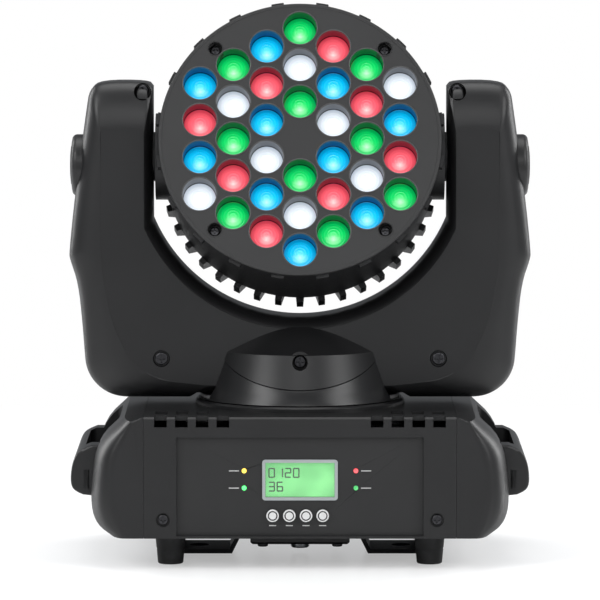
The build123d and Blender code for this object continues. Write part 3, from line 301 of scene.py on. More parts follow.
@dataclass(frozen=True)
class Rubber(Finish):
    """Matt rubber with a bloom and small mould specks."""

    colour: Point3 = (0.016, 0.016, 0.016)
    light: Point3 = (0.034, 0.034, 0.035)

    def draw(self, sheet: Sheet) -> None:
        """Draws the node tree."""
        bloom = sheet.noise(6.0, 4.0)
        specks = sheet.noise(0.5, 2.0)
        colour = sheet.mix(bloom.span(0.35, 0.75), self.colour, self.light)
        rough = 0.55 + bloom * 0.2
        sheet.surface({"Specular IOR Level": 0.4}, {"Base Color": colour, "Roughness": rough,
                                                    "Normal": sheet.bump(specks, 0.02)})


@dataclass(frozen=True)
class CircuitBoard(Finish):
    """Solder mask with copper tracks under it."""

    mask: Point3 = (0.01, 0.11, 0.04)
    track: Point3 = (0.03, 0.22, 0.09)

    def draw(self, sheet: Sheet) -> None:
        """Draws the node tree."""
        lines = sheet.node("ShaderNodeTexBrick",
                           inputs={"Vector": sheet.place(), "Scale": 160.0, "Mortar Size": 0.03},
                           output="Fac")
        broad = sheet.noise(9.0, 3.0)
        colour = sheet.mix(lines * 0.7 + broad.over(0.6) * 0.3, self.mask, self.track)
        sheet.surface({"Coat Weight": 0.4}, {"Base Color": colour, "Roughness": 0.35 + broad * 0.2,
                                             "Normal": sheet.bump(lines, 0.03)})


@dataclass(frozen=True)
class LitLens(Finish):
    """A moulded collimator with its emitter alight: rings, a dark rim and a hot spot."""

    rim: Point3 = (0.0, 0.1, 0.02)
    body: Point3 = (0.0, 0.5, 0.1)
    spot: Point3 = (0.5, 1.0, 0.6)

    def draw(self, sheet: Sheet) -> None:
        """Draws the node tree."""
        flat = sheet.node("ShaderNodeUVMap", {"uv_map": "lens"})
        parts = {"Vector": flat}
        across = sheet.node("ShaderNodeSeparateXYZ", inputs=parts, output="X") - 0.5
        up = sheet.node("ShaderNodeSeparateXYZ", inputs=parts, output="Y") - 0.5
        radius = (across * across + up * up) ** 0.5 * 2.0
        low = up + 0.13
        spot = 1 - ((across * across + low * low) ** 0.5 * 2.0).span(0.0, 0.62)
        rings = ((radius * 34.0).sine() * 0.5 + 0.5) * (1 - radius.span(0.75, 1.0))
        shade = (1 - radius.span(0.62, 1.02) * 0.75) * (1 - up.span(0.02, 0.5) * 0.42)
        glow = sheet.mix(spot ** 2.2, self.body, self.spot)
        glow = sheet.mix((1 - shade) + rings * 0.13, glow, self.rim)
        links = {"Base Color": sheet.mix(radius.span(0.2, 1.0), self.body, self.rim),
                 "Emission Color": glow, "Normal": sheet.bump(rings, 0.12)}
        sheet.surface({"Roughness": 0.12, "Emission Strength": 1.0, "Coat Weight": 0.5,
                       "Coat Roughness": 0.04}, links)


@dataclass(frozen=True)
class LitWall(Finish):
    """The well's wall with painted light from its lens: a coloured glow, brighter at the bottom of the well,
    over a base colour tinted by the lens.
    """

    colour: Point3 = (0.0, 0.1, 0.02)

    def draw(self, sheet: Sheet) -> None:
        """Draws the node tree."""
        flat = sheet.node("ShaderNodeUVMap", {"uv_map": "lens"})
        height = sheet.node("ShaderNodeSeparateXYZ", inputs={"Vector": flat}, output="Y")
        grain = sheet.noise(0.5, 2.0)
        glow = sheet.mix(height.span(0.0, 1.0) * 0.85 + grain * 0.15, self.colour,
                         tuple(c * 0.25 for c in self.colour))
        # The base colour is tinted by the lens as well: a painted reflection of its light on the black wall.
        dark = tuple(c * 0.35 + 0.006 for c in self.colour)
        sheet.surface({"Roughness": 0.3, "Emission Strength": 1.0},
                      {"Base Color": sheet.mix(grain, dark, (0.01, 0.01, 0.01)), "Emission Color": glow})


@dataclass(frozen=True)
class LitScreen(Finish):
    """A backlit character screen: a grid of faint cells and an uneven glow."""

    dim: Point3 = (0.05, 0.26, 0.07)
    bright: Point3 = (0.20, 0.62, 0.22)

    def draw(self, sheet: Sheet) -> None:
        """Draws the node tree."""
        broad = sheet.noise(30.0, 2.0)
        grid = sheet.node("ShaderNodeTexBrick",
                          {"offset": 0.0},
                          {"Vector": sheet.node("ShaderNodeMapping", {}, {
                              "Vector": sheet.place(), "Rotation": (math.pi / 2, 0, 0)}),
                           "Scale": 1400.0, "Mortar Size": 0.04, "Brick Width": 1.0,
                           "Row Height": 1.0}, "Fac")
        glow = sheet.mix(broad.span(0.2, 0.8), self.dim, self.bright)
        glow = sheet.mix(grid * 0.1, glow, self.dim)
        sheet.surface({"Roughness": 0.25, "Emission Strength": 0.9},
                      {"Base Color": glow, "Emission Color": glow})


@dataclass(frozen=True)
class Glow(Finish):
    """Tinted resin lit from inside, hotter in the middle of its noise."""

    colour: Point3 = (0.9, 0.5, 0.05)
    power: float = 1.5

    def draw(self, sheet: Sheet) -> None:
        """Draws the node tree."""
        haze = sheet.noise(1.2, 2.0)
        hot = tuple(min(1.0, c * 1.4 + 0.15) for c in self.colour)
        glow = sheet.mix(haze, self.colour, hot)
        sheet.surface({"Roughness": 0.15, "Emission Strength": self.power},
                      {"Base Color": glow, "Emission Color": glow})


@dataclass(frozen=True)
class Print(Finish):
    """Screen-printed ink with a slightly uneven edge and body."""

    colour: Point3 = (0.62, 0.62, 0.62)

    def draw(self, sheet: Sheet) -> None:
        """Draws the node tree."""
        speck = sheet.noise(0.25, 3.0)
        dark = tuple(c * 0.8 for c in self.colour)
        sheet.surface({}, {"Base Color": sheet.mix(speck, dark, self.colour),
                           "Roughness": 0.4 + speck * 0.2})


@dataclass(frozen=True)
class ClearWindow(Finish):
    """A thin clear window with a faint tint and hair scratches."""

    tint: Point3 = (0.9, 1.0, 0.92)

    def draw(self, sheet: Sheet) -> None:
        """Draws the node tree."""
        scratches = sheet.noise(2.0, 4.0)
        sheet.surface({"Transmission Weight": 0.0, "IOR": 1.45},
                      {"Base Color": sheet.mix(scratches, (0.8, 0.9, 0.82), self.tint),
                       "Roughness": 0.05 + scratches.span(0.6, 0.8) * 0.1,
                       "Alpha": 0.06 + scratches.span(0.6, 0.9) * 0.03})


BODY_PLASTIC = MouldedPlastic("body_plastic")
TURRET_PLASTIC = MouldedPlastic("turret_plastic", roughness=0.33, depth=0.006, grain=0.3)
FACE_PLASTIC = MouldedPlastic("face_plastic_fine", colour=(0.018, 0.018, 0.0185),
                              light=(0.024, 0.024, 0.0245), roughness=0.55, depth=0.01)
# The wells' lips are a lighter grey than the face: a painted highlight along each rim.
WELL_LIP_PAINTED_HIGHLIGHT = MouldedPlastic("well_lip", colour=(0.055, 0.055, 0.056), light=(0.07, 0.07, 0.071),
                          roughness=0.32, depth=0.003)
PANEL_PLASTIC = MouldedPlastic("panel_plastic", colour=(0.011, 0.011, 0.0115),
                               light=(0.015, 0.015, 0.0155), roughness=0.5, depth=0.006, grain=0.25)
SOCKET_PLASTIC = MouldedPlastic("socket_plastic", roughness=0.3, depth=0.004)
FAN_PLASTIC = MouldedPlastic("fan_plastic", roughness=0.5)
BLACK_COAT = PowderCoat("black_powder_coat")
SINK_COAT = PowderCoat("sink_coat", colour=(0.006, 0.006, 0.0065), light=(0.011, 0.011, 0.0125),
                       roughness=0.42, pebble=0.6)
MOTOR_COAT = PowderCoat("motor_coat", colour=(0.05, 0.05, 0.055), light=(0.08, 0.08, 0.085),
                        roughness=0.4, pebble=0.5)
BLACK_STEEL = WorkedMetal("blackened_steel", colour=(0.07, 0.07, 0.075), roughness=0.32)
STEEL = WorkedMetal("turned_steel")
ZINC = WorkedMetal("zinc_plate", colour=(0.6, 0.6, 0.58), roughness=0.4, along=(0.1, 1.0, 1.0))
ALUMINIUM = WorkedMetal("machined_aluminium", colour=(0.72, 0.73, 0.75), roughness=0.28)
FOOT_RUBBER = Rubber("foot_rubber")
BELT_RUBBER = Rubber("belt_rubber", colour=(0.01, 0.01, 0.01))
GREEN_BOARD = CircuitBoard("green_board")
WHITE_BOARD = CircuitBoard("white_lamp_board", mask=(0.55, 0.56, 0.56), track=(0.68, 0.69, 0.69))
SCREEN = LitScreen("screen_glow")
SCREEN_DIGITS = Print("screen_digits", colour=(0.015, 0.06, 0.02))
WHITE_INK = Print("white_ink")
RIM_GREY = Print("rim_grey", colour=(0.42, 0.45, 0.46))
BUTTON_WHITE = Print("button_white", colour=(0.8, 0.8, 0.8))
WINDOW = ClearWindow("screen_window_clear")
AMBER = Glow("indicator_amber_glow", colour=(1.0, 0.52, 0.02), power=1.3)
RED = Glow("indicator_red_glow", colour=(0.8, 0.03, 0.04), power=0.8)
GREEN = Glow("indicator_green_glow", colour=(0.03, 0.9, 0.12), power=1.2)
DIM_GREEN = Glow("indicator_dim_green_glow", colour=(0.01, 0.32, 0.06), power=0.7)


class LampColour(Enum):
    """The four lamp colours: lens finish and the well wall's painted glow."""

    RED = ("R", LitLens("lens_red_lit", (0.30, 0.012, 0.03), (0.88, 0.11, 0.15), (1.0, 0.72, 0.68)),
           LitWall("well_red", (0.13, 0.006, 0.014)))
    GREEN = ("G", LitLens("lens_green_lit", (0.0, 0.13, 0.03), (0.0, 0.62, 0.12), (0.62, 1.0, 0.66)),
             LitWall("well_green", (0.002, 0.075, 0.018)))
    BLUE = ("B", LitLens("lens_blue_lit", (0.0, 0.10, 0.26), (0.0, 0.52, 0.86), (0.55, 0.95, 1.0)),
            LitWall("well_blue", (0.002, 0.035, 0.14)))
    WHITE = ("W", LitLens("lens_white_lit", (0.30, 0.34, 0.40), (0.74, 0.80, 0.86), (1.0, 1.0, 1.0)),
             LitWall("well_white", (0.06, 0.065, 0.075)))

    def __init__(self, letter: str, lens: LitLens, wall: LitWall) -> None:
        """Keeps the colour's letter and its finishes."""
        self.letter = letter
        self.lens = lens
        self.wall = wall


# ---- Bench: mesh work with Blender's own tools ----------------------------------------------
def rest_tools() -> None:
    """Leaves edit mode and deselects everything."""
    if bpy.context.object and bpy.context.object.mode != "OBJECT":
        bpy.ops.object.mode_set(mode="OBJECT")
    bpy.ops.object.select_all(action="DESELECT")


def pick(obj: bpy.types.Object) -> None:
    """Makes one object the only selected one and the active one."""
    rest_tools()
    obj.select_set(True)
    bpy.context.view_layer.objects.active = obj


def settle(obj: bpy.types.Object, name: str) -> bpy.types.Object:
    """Names an object and moves its place into its mesh."""
    obj.name = name
    obj.data.name = name
    obj.data.transform(obj.matrix_world)
    obj.matrix_world = Matrix.Identity(4)
    return obj


def ring(name: str, points: Sequence[Point3]) -> bpy.types.Object:
    """A closed wire from a circle primitive.

    Args:
        name: The object's name.
        points: The corners in millimetres.

    Returns:
        The wire, in object mode.
    """
    rest_tools()
    bpy.ops.mesh.primitive_circle_add(vertices=len(points), radius=1.0, fill_type="NOTHING")
    obj = settle(bpy.context.object, name)
    for vertex, point in zip(obj.data.vertices, points):
        vertex.co = Vector(point) * MM
    return obj


def loft(name: str, rings: Sequence[Sequence[Point3]], start: bool = True,
         end: bool = True) -> bpy.types.Object:
    """A skin through rings with the same number of corners, each extruded from the last.

    Args:
        name: The object's name.
        rings: The rings, in millimetres.
        start: Whether the first ring is filled.
        end: Whether the last ring is filled.

    Returns:
        The object.
    """
    obj = ring(name, rings[0])
    bpy.ops.object.mode_set(mode="EDIT")
    bpy.ops.mesh.select_mode(type="VERT")
    current = list(range(len(rings[0])))
    for points in rings[1:]:
        _select_vertices(obj, current)
        bpy.ops.mesh.extrude_edges_indiv()
        work = bmesh.from_edit_mesh(obj.data)
        work.verts.ensure_lookup_table()
        work.verts.index_update()
        old = set(current)
        moved = []
        for index, point in zip(current, points):
            twin = next(e.other_vert(work.verts[index]) for e in work.verts[index].link_edges
                        if e.other_vert(work.verts[index]).select)
            twin.co = Vector(point) * MM
            moved.append(twin.index)
        current = moved
        assert not old & set(current)
        bmesh.update_edit_mesh(obj.data)
    if start:
        _select_vertices(obj, list(range(len(rings[0]))))
        bpy.ops.mesh.edge_face_add()
    if end:
        _select_vertices(obj, current)
        bpy.ops.mesh.edge_face_add()
    bpy.ops.mesh.select_all(action="SELECT")
    bpy.ops.mesh.normals_make_consistent(inside=False)
    bpy.ops.object.mode_set(mode="OBJECT")
    return obj


def _select_vertices(obj: bpy.types.Object, indices: Sequence[int]) -> None:
    """Selects only the vertices with these indices, in edit mode."""
    bpy.ops.mesh.select_all(action="DESELECT")
    work = bmesh.from_edit_mesh(obj.data)
    work.verts.ensure_lookup_table()
    for index in indices:
        work.verts[index].select = True
    work.select_flush(True)
    bmesh.update_edit_mesh(obj.data)


def lathe(name: str, profile: Sequence[Point2], steps: int = 96,
          closed: bool = False) -> bpy.types.Object:
    """A profile of (radius, height) points spun round Z.

    Args:
        name: The object's name.
        profile: The points in millimetres.
        steps: How many faces go round.
        closed: Whether the profile is a loop, as a ring's section is.

    Returns:
        The object.
    """
    obj = ring(name, [(r, 0.0, z) for r, z in profile])
    bpy.ops.object.mode_set(mode="EDIT")
    bpy.ops.mesh.select_mode(type="EDGE")
    if not closed:
        bpy.ops.mesh.select_all(action="DESELECT")
        work = bmesh.from_edit_mesh(obj.data)
        ends = {0, len(profile) - 1}
        for edge in work.edges:
            edge.select = {edge.verts[0].index, edge.verts[1].index} == ends
        bmesh.update_edit_mesh(obj.data)
        bpy.ops.mesh.delete(type="EDGE")
    bpy.ops.mesh.select_mode(type="VERT")
    bpy.ops.mesh.select_all(action="SELECT")
    bpy.ops.mesh.spin(steps=steps, angle=2 * math.pi, center=(0, 0, 0), axis=(0, 0, 1))
    bpy.ops.mesh.select_all(action="SELECT")
    bpy.ops.mesh.remove_doubles(threshold=1e-7)
    bpy.ops.mesh.normals_make_consistent(inside=False)
    bpy.ops.object.mode_set(mode="OBJECT")
    return obj


def block(name: str, low: Point3, high: Point3) -> bpy.types.Object:
    """A box between two corners in millimetres."""
    rest_tools()
    centre = [(a + b) / 2 * MM for a, b in zip(low, high)]
    size = [abs(b - a) * MM for a, b in zip(low, high)]
    bpy.ops.mesh.primitive_cube_add(size=1.0, location=centre, scale=size)
    return settle(bpy.context.object, name)


def rod(name: str, radius: float, start: Point3, end: Point3, sides: int = 48) -> bpy.types.Object:
    """A cylinder between two points in millimetres."""
    rest_tools()
    a, b = Vector(start) * MM, Vector(end) * MM
    bpy.ops.mesh.primitive_cylinder_add(vertices=sides, radius=radius * MM, depth=(b - a).length)
    turn = (b - a).to_track_quat("Z", "Y").to_matrix().to_4x4()
    obj = bpy.context.object
    obj.matrix_world = Matrix.Translation((a + b) / 2) @ turn
    return settle(obj, name)


def copy_of(obj: bpy.types.Object, name: str, place: Matrix) -> bpy.types.Object:
    """A copy with its own mesh, moved by a matrix."""
    twin = bpy.data.objects.new(name, obj.data.copy())
    bpy.context.scene.collection.objects.link(twin)
    twin.data.transform(place)
    if place.determinant() < 0:
        twin.data.flip_normals()
    return twin


def drop(obj: bpy.types.Object) -> None:
    """Deletes an object that was only a tool."""
    bpy.data.objects.remove(obj, do_unlink=True)


def join(name: str, parts: Sequence[bpy.types.Object]) -> bpy.types.Object:
    """Joins objects into one."""
    rest_tools()
    for part in parts:
        part.select_set(True)
    bpy.context.view_layer.objects.active = parts[0]
    if len(parts) > 1:
        bpy.ops.object.join()
    return settle(bpy.context.object, name)


def modify(obj: bpy.types.Object, kind: str, **settings: object) -> None:
    """Adds a modifier with its settings and applies it."""
    pick(obj)
    made = obj.modifiers.new(kind.lower(), kind)
    for name, value in settings.items():
        setattr(made, name, value)
    bpy.ops.object.modifier_apply(modifier=made.name)


def volume(obj: bpy.types.Object) -> float:
    """The volume of a closed mesh."""
    work = bmesh.new()
    work.from_mesh(obj.data)
    amount = work.calc_volume()
    work.free()
    return amount


def combine(obj: bpy.types.Object, tool: bpy.types.Object, operation: str) -> None:
    """Applies a boolean and deletes its tool.

    Args:
        obj: The object that changes.
        tool: The other object.
        operation: DIFFERENCE, UNION or INTERSECT.
    """
    whole = obj.data.copy()
    before = volume(obj)
    low, high = {"DIFFERENCE": (0.3, 1.001), "UNION": (0.999, 9.0), "INTERSECT": (0.001, 1.001)}[operation]
    for solver in ("EXACT", "MANIFOLD"):
        modify(obj, "BOOLEAN", operation=operation, solver=solver, object=tool)
        if low * before < volume(obj) < high * before:
            break
        LOG.warning("%s: the %s solver failed at %s", obj.name, solver, operation)
        obj.data = whole.copy()
    drop(tool)


def cut(obj: bpy.types.Object, tools: Sequence[bpy.types.Object]) -> None:
    """Cuts tools out of an object and deletes them."""
    combine(obj, join("cutter", tools), "DIFFERENCE")


def soften(obj: bpy.types.Object, width: float, segments: int = 2, angle: float = 35.0) -> None:
    """Rounds the sharp edges by a width in millimetres and smooths the shading."""
    modify(obj, "BEVEL", width=width * MM, segments=segments, limit_method="ANGLE",
           angle_limit=math.radians(angle), miter_outer="MITER_ARC", use_clamp_overlap=True)
    smooth(obj)


def smooth(obj: bpy.types.Object, angle: float = 32.0) -> None:
    """Shades an object smooth except at sharp edges."""
    pick(obj)
    bpy.ops.object.shade_smooth_by_angle(angle=math.radians(angle))


def slice_off(obj: bpy.types.Object, point: Point3, normal: Point3, fill: bool = True) -> None:
    """Cuts away all that lies on the side that a plane's normal points to."""
    pick(obj)
    bpy.ops.object.mode_set(mode="EDIT")
    bpy.ops.mesh.select_all(action="SELECT")
    bpy.ops.mesh.bisect(plane_co=Vector(point) * MM, plane_no=normal, use_fill=fill,
                        clear_outer=True)
    bpy.ops.object.mode_set(mode="OBJECT")


def dress(obj: bpy.types.Object, finish: Finish) -> bpy.types.Object:
    """Gives an object one finish all over."""
    obj.data.materials.clear()
    obj.data.materials.append(finish.material())
    return obj


def fit(obj: bpy.types.Object, body: str, finish: Finish | None = None,
        stands_for: Sequence[str] = ()) -> bpy.types.Object:
    """Puts a finished piece on its body.

    Args:
        obj: The piece, in place.
        body: The body that it rides on.
        finish: Its finish, unless it is dressed already.
        stands_for: The CAD nodes that it replaces.

    Returns:
        The piece.
    """
    if finish:
        dress(obj, finish)
    modify(obj, "WEIGHTED_NORMAL", mode="FACE_AREA", weight=50, keep_sharp=True)
    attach(obj, body)
    if stands_for:
        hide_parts(*stands_for)
    LOG.info("%s: %d faces on %s", obj.name, len(obj.data.polygons), body)
    return obj


def arc(centre: Point2, radius: float, start: float, end: float, count: int) -> list[Point2]:
    """Points on an arc, with angles in degrees."""
    angles = [math.radians(start + (end - start) * i / (count - 1)) for i in range(count)]
    return [(centre[0] + radius * math.cos(a), centre[1] + radius * math.sin(a)) for a in angles]


def eased(points: Sequence[Point2], passes: int = 2) -> list[Point2]:
    """Rounds an open run of points by cutting its corners, and keeps its ends."""
    run = list(points)
    for _ in range(passes):
        cut_run = [run[0]]
        for (ax, az), (bx, bz) in zip(run, run[1:]):
            cut_run.append((ax * 0.75 + bx * 0.25, az * 0.75 + bz * 0.25))
            cut_run.append((ax * 0.25 + bx * 0.75, az * 0.25 + bz * 0.75))
        run = [*cut_run, run[-1]]
    return run


def arc_through(a: Point2, b: Point2, c: Point2, count: int) -> list[Point2]:
    """Points on the arc that starts at a, passes b and ends at c."""
    (ax, ay), (bx, by), (cx, cy) = a, b, c
    d = 2 * (ax * (by - cy) + bx * (cy - ay) + cx * (ay - by))
    sa, sb, sc = ax * ax + ay * ay, bx * bx + by * by, cx * cx + cy * cy
    ox = (sa * (by - cy) + sb * (cy - ay) + sc * (ay - by)) / d
    oy = (sa * (cx - bx) + sb * (ax - cx) + sc * (bx - ax)) / d
    start = math.atan2(ay - oy, ax - ox)
    sweep = math.atan2(cy - oy, cx - ox) - start
    sweep = (sweep + math.pi) % (2 * math.pi) - math.pi
    radius = math.hypot(ax - ox, ay - oy)
    angles = [start + sweep * i / (count - 1) for i in range(count)]
    return [(ox + radius * math.cos(t), oy + radius * math.sin(t)) for t in angles]


def between(a: Point2, b: Point2, t: float) -> Point2:
    """A point on the line from a to b."""
    return (a[0] + (b[0] - a[0]) * t, a[1] + (b[1] - a[1]) * t)


def refine(node: str, width: float = 0.3, segments: int = 2) -> bpy.types.Object:
    """A merged copy of a CAD node with its flat faces merged and cut again into triangles, and its sharp
    edges rounded.

    Args:
        node: The CAD node.
        width: The edge rounding, in millimetres.
        segments: The rounding's faces.

    Returns:
        The copy, not yet riding on anything.
    """
    source = bpy.data.objects[node]
    twin = bpy.data.objects.new(f"{node}_finished", source.data.copy())
    bpy.context.scene.collection.objects.link(twin)
    pick(twin)
    bpy.ops.object.mode_set(mode="EDIT")
    bpy.ops.mesh.select_all(action="SELECT")
    bpy.ops.mesh.remove_doubles(threshold=2e-6)
    bpy.ops.mesh.dissolve_limited(angle_limit=math.radians(0.8))
    bpy.ops.mesh.quads_convert_to_tris(quad_method="BEAUTY", ngon_method="CLIP")
    bpy.ops.mesh.normals_make_consistent(inside=False)
    bpy.ops.object.mode_set(mode="OBJECT")
    soften(twin, width, segments)
    return twin


def stand_in(node: str, body: str, finish: Finish, width: float = 0.3) -> None:
    """Replaces a CAD node by its refined copy."""
    fit(refine(node, width), body, finish, [node])


# ---- Fasteners -----------------------------------------------------------------------------
@dataclass(frozen=True)
class CrossScrew:
    """A pan-head screw with a cross recess."""

    head_r: float = 3.4
    head: float = 2.2
    shank_r: float = 1.6
    length: float = 8.0

    def build(self, name: str) -> bpy.types.Object:
        """Builds one screw with its head's seat at the origin and its head along +Z."""
        crown = arc((self.head_r - 1.1, self.head - 1.1), 1.1, 0, 90, 6)
        profile = [(0, -self.length), (self.shank_r, -self.length), (self.shank_r, -0.2),
                   (self.head_r - 0.3, 0), (self.head_r, 0.3), *crown, (0, self.head)]
        screw = lathe(name, profile, 40)
        arm = self.head_r * 0.62
        slots = []
        for turn in (0, 90):
            blade = block("blade", (-arm, -0.5, self.head - 1.3), (arm, 0.5, self.head + 1))
            slots.append(copy_of(blade, "slot", Matrix.Rotation(math.radians(turn), 4, "Z")))
            drop(blade)
        pit = rod("pit", 1.0, (0, 0, self.head - 1.6), (0, 0, self.head + 1), 16)
        cut(screw, [slots[0]])
        cut(screw, [slots[1]])
        cut(screw, [pit])
        soften(screw, 0.12, 1)
        return screw

    def group(self, name: str, places: Sequence[Matrix]) -> bpy.types.Object:
        """Builds a screw and joins a copy of it at every place."""
        one = self.build("screw")
        copies = [copy_of(one, f"screw_{i}", place) for i, place in enumerate(places)]
        drop(one)
        return join(name, copies)


def facing(x: float, y: float, z: float, about: str, degrees: float) -> Matrix:
    """A turn about an axis and then a move in millimetres."""
    turn = Matrix.Rotation(math.radians(degrees), 4, about)
    return Matrix.Translation(Vector((x, y, z)) * MM) @ turn


# ---- Base ----------------------------------------------------------------------------------
@dataclass
class BaseShell:
    """The boxy base's covers, rear panel, pan collar, screws, hatch and eye."""

    screw_x: float = 87.0
    screw_z: float = 32.0
    hatch_screw: Point2 = (24.0, 38.0)
    hatch_z: float = 10.0

    def build(self) -> None:
        """Builds the shell."""
        stand_in("base_front_cover", "base", BODY_PLASTIC, 0.5)
        stand_in("base_top_cover", "base", BODY_PLASTIC, 0.4)
        stand_in("base_rear_panel", "base", BLACK_COAT, 0.2)
        stand_in("bottom_hatch", "base", BODY_PLASTIC, 0.3)
        stand_in("safety_eye", "base", STEEL, 0.2)
        stand_in("pan_collar", "base", TURRET_PLASTIC, 0.4)
        self._screws()

    def _screws(self) -> None:
        """Builds the screws of the covers and the hatch."""
        front_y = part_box("base_front_cover")[0][1] / MM + 2.5
        rear_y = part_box("base_rear_panel")[1][1] / MM
        places = []
        for x in (-self.screw_x, self.screw_x):
            places.append(facing(x, front_y, self.screw_z, "X", 90))
            places.append(facing(x, rear_y, self.screw_z, "X", -90))
        hatch_x, hatch_y = self.hatch_screw
        for x in (-hatch_x, hatch_x):
            for y in (-hatch_y, hatch_y):
                places.append(facing(x, y, self.hatch_z, "X", 180))
        group = CrossScrew().group("base_cross_screws", places)
        fit(group, "base", BLACK_STEEL, ["base_screws"])


@dataclass
class EndCaps:
    """Both end caps: a bulging shell with a moulded carrying handle and its finger pocket."""

    seam_x: float = 99.5
    half_depth: float = 93.0
    shoulder_y: float = 65.0
    bottom: float = 20.0
    top: float = 97.5
    handle_half: float = 60.0
    handle_out: float = 147.2
    grip: float = 9.3
    pocket_half: float = 42.0
    pocket_floor: float = 116.0
    pocket_bottom: float = 41.0
    flat: tuple[Point2, ...] = ((111, 20), (114.5, 28), (118.4, 45), (119.0, 60), (115.6, 76),
                                (106.5, 94.5))
    full: tuple[Point2, ...] = ((121, 20), (130, 26), (134, 38), (133, 58), (129.5, 79.5), (112, 95.5))
    grip_outline: tuple[Point2, ...] = ((126, 76), (134, 76), (141, 73), (144, 69.5), (146.4, 62.5),
                                        (147.2, 54), (146.5, 49), (144, 46.2), (139.3, 44), (126, 42.6))

    def build(self) -> None:
        """Builds the pair."""
        right = self._right()
        left = copy_of(right, "left", Matrix.Scale(-1, 4, (1, 0, 0)))
        pair = join("end_caps_moulded", [right, left])
        smooth(pair, 28)
        fit(pair, "base", BODY_PLASTIC, ["end_caps"])

    def _section(self, t: float, y: float, shrink: float = 0.0) -> list[Point3]:
        """The outline at depth y, from the flat front (t = 0) to the full width (t = 1)."""
        edge = [between(a, b, t) for a, b in zip(self.flat, self.full)]
        edge = [(x - shrink, z) for x, z in edge]
        outline = [(self.seam_x, self.bottom), *eased(edge), (self.seam_x, self.top)]
        return [(x, y, z) for x, z in outline]

    def _right(self) -> bpy.types.Object:
        """Builds the right-hand cap."""
        steps = 10
        rings = [self._section(-0.01, -self.half_depth, 1.2),
                 self._section(0.0, -self.half_depth + 0.25)]
        for i in range(1, steps + 1):
            angle = math.radians(90 * i / steps)
            t = math.sin(angle)
            depth = self.half_depth - (self.half_depth - self.shoulder_y) * (1 - math.cos(angle))
            rings.append(self._section(t, -depth))
        rings += [[(x, -y, z) for x, y, z in line] for line in reversed(rings)]
        cap = loft("right_cap", rings)
        handle = self._handle()
        combine(cap, handle, "UNION")
        cut(cap, [self._pocket()])
        cut(cap, [self._grooves()])
        cut(cap, [block("room", (self.seam_x - 1, -self.half_depth + 8, self.bottom + 3),
                        (self.pocket_floor - 8, self.half_depth - 8, self.top - 6))])
        soften(cap, 0.5, 2, 40)
        return cap

    def _handle(self) -> bpy.types.Object:
        """The grip's solid, rounded at its two ends."""
        outline = [(126, 76), *eased(self.grip_outline[1:-1]), (126, 42.6)]
        ends = [(1.0, 0.0), (0.3, 0.6), (0.0, 1.8)]
        rings = []
        for shrink, depth in ends:
            y = -self.handle_half + depth
            rings.append([(x - shrink * 1.4 * (x > 127), y, z + shrink * (1 if z < 60 else -1))
                          for x, z in outline])
        rings += [[(x, -y, z) for x, y, z in line] for line in reversed(rings)]
        return loft("handle", rings)

    def _pocket(self) -> bpy.types.Object:
        """The finger pocket with rounded corners."""
        x1 = self.handle_out - self.grip
        pocket = block("pocket", (self.pocket_floor, -self.pocket_half, self.pocket_bottom),
                       (x1, self.pocket_half, self.top + 5))
        modify(pocket, "BEVEL", width=4 * MM, segments=5, limit_method="ANGLE")
        return pocket

    def _grooves(self) -> bpy.types.Object:
        """The shadow gaps over and under each end of the handle, and its oval holes."""
        tools = []
        for side in (-1, 1):
            near, far = sorted((side * (self.pocket_half + 3), side * (self.shoulder_y + 1)))
            tools.append(block("upper", (128, near, 76), (134, far, 79.8)))
            tools.append(block("lower", (131.0, near, 40.2), (140, far, 42.6)))
            face = side * self.handle_half
            hole = block("oval", (135.0, min(face, face - side * 9), 47.2),
                         (140.2, max(face, face + side * 3), 60.8))
            modify(hole, "BEVEL", width=2.5 * MM, segments=6, limit_method="ANGLE")
            tools.append(hole)
        return join("grooves", tools)


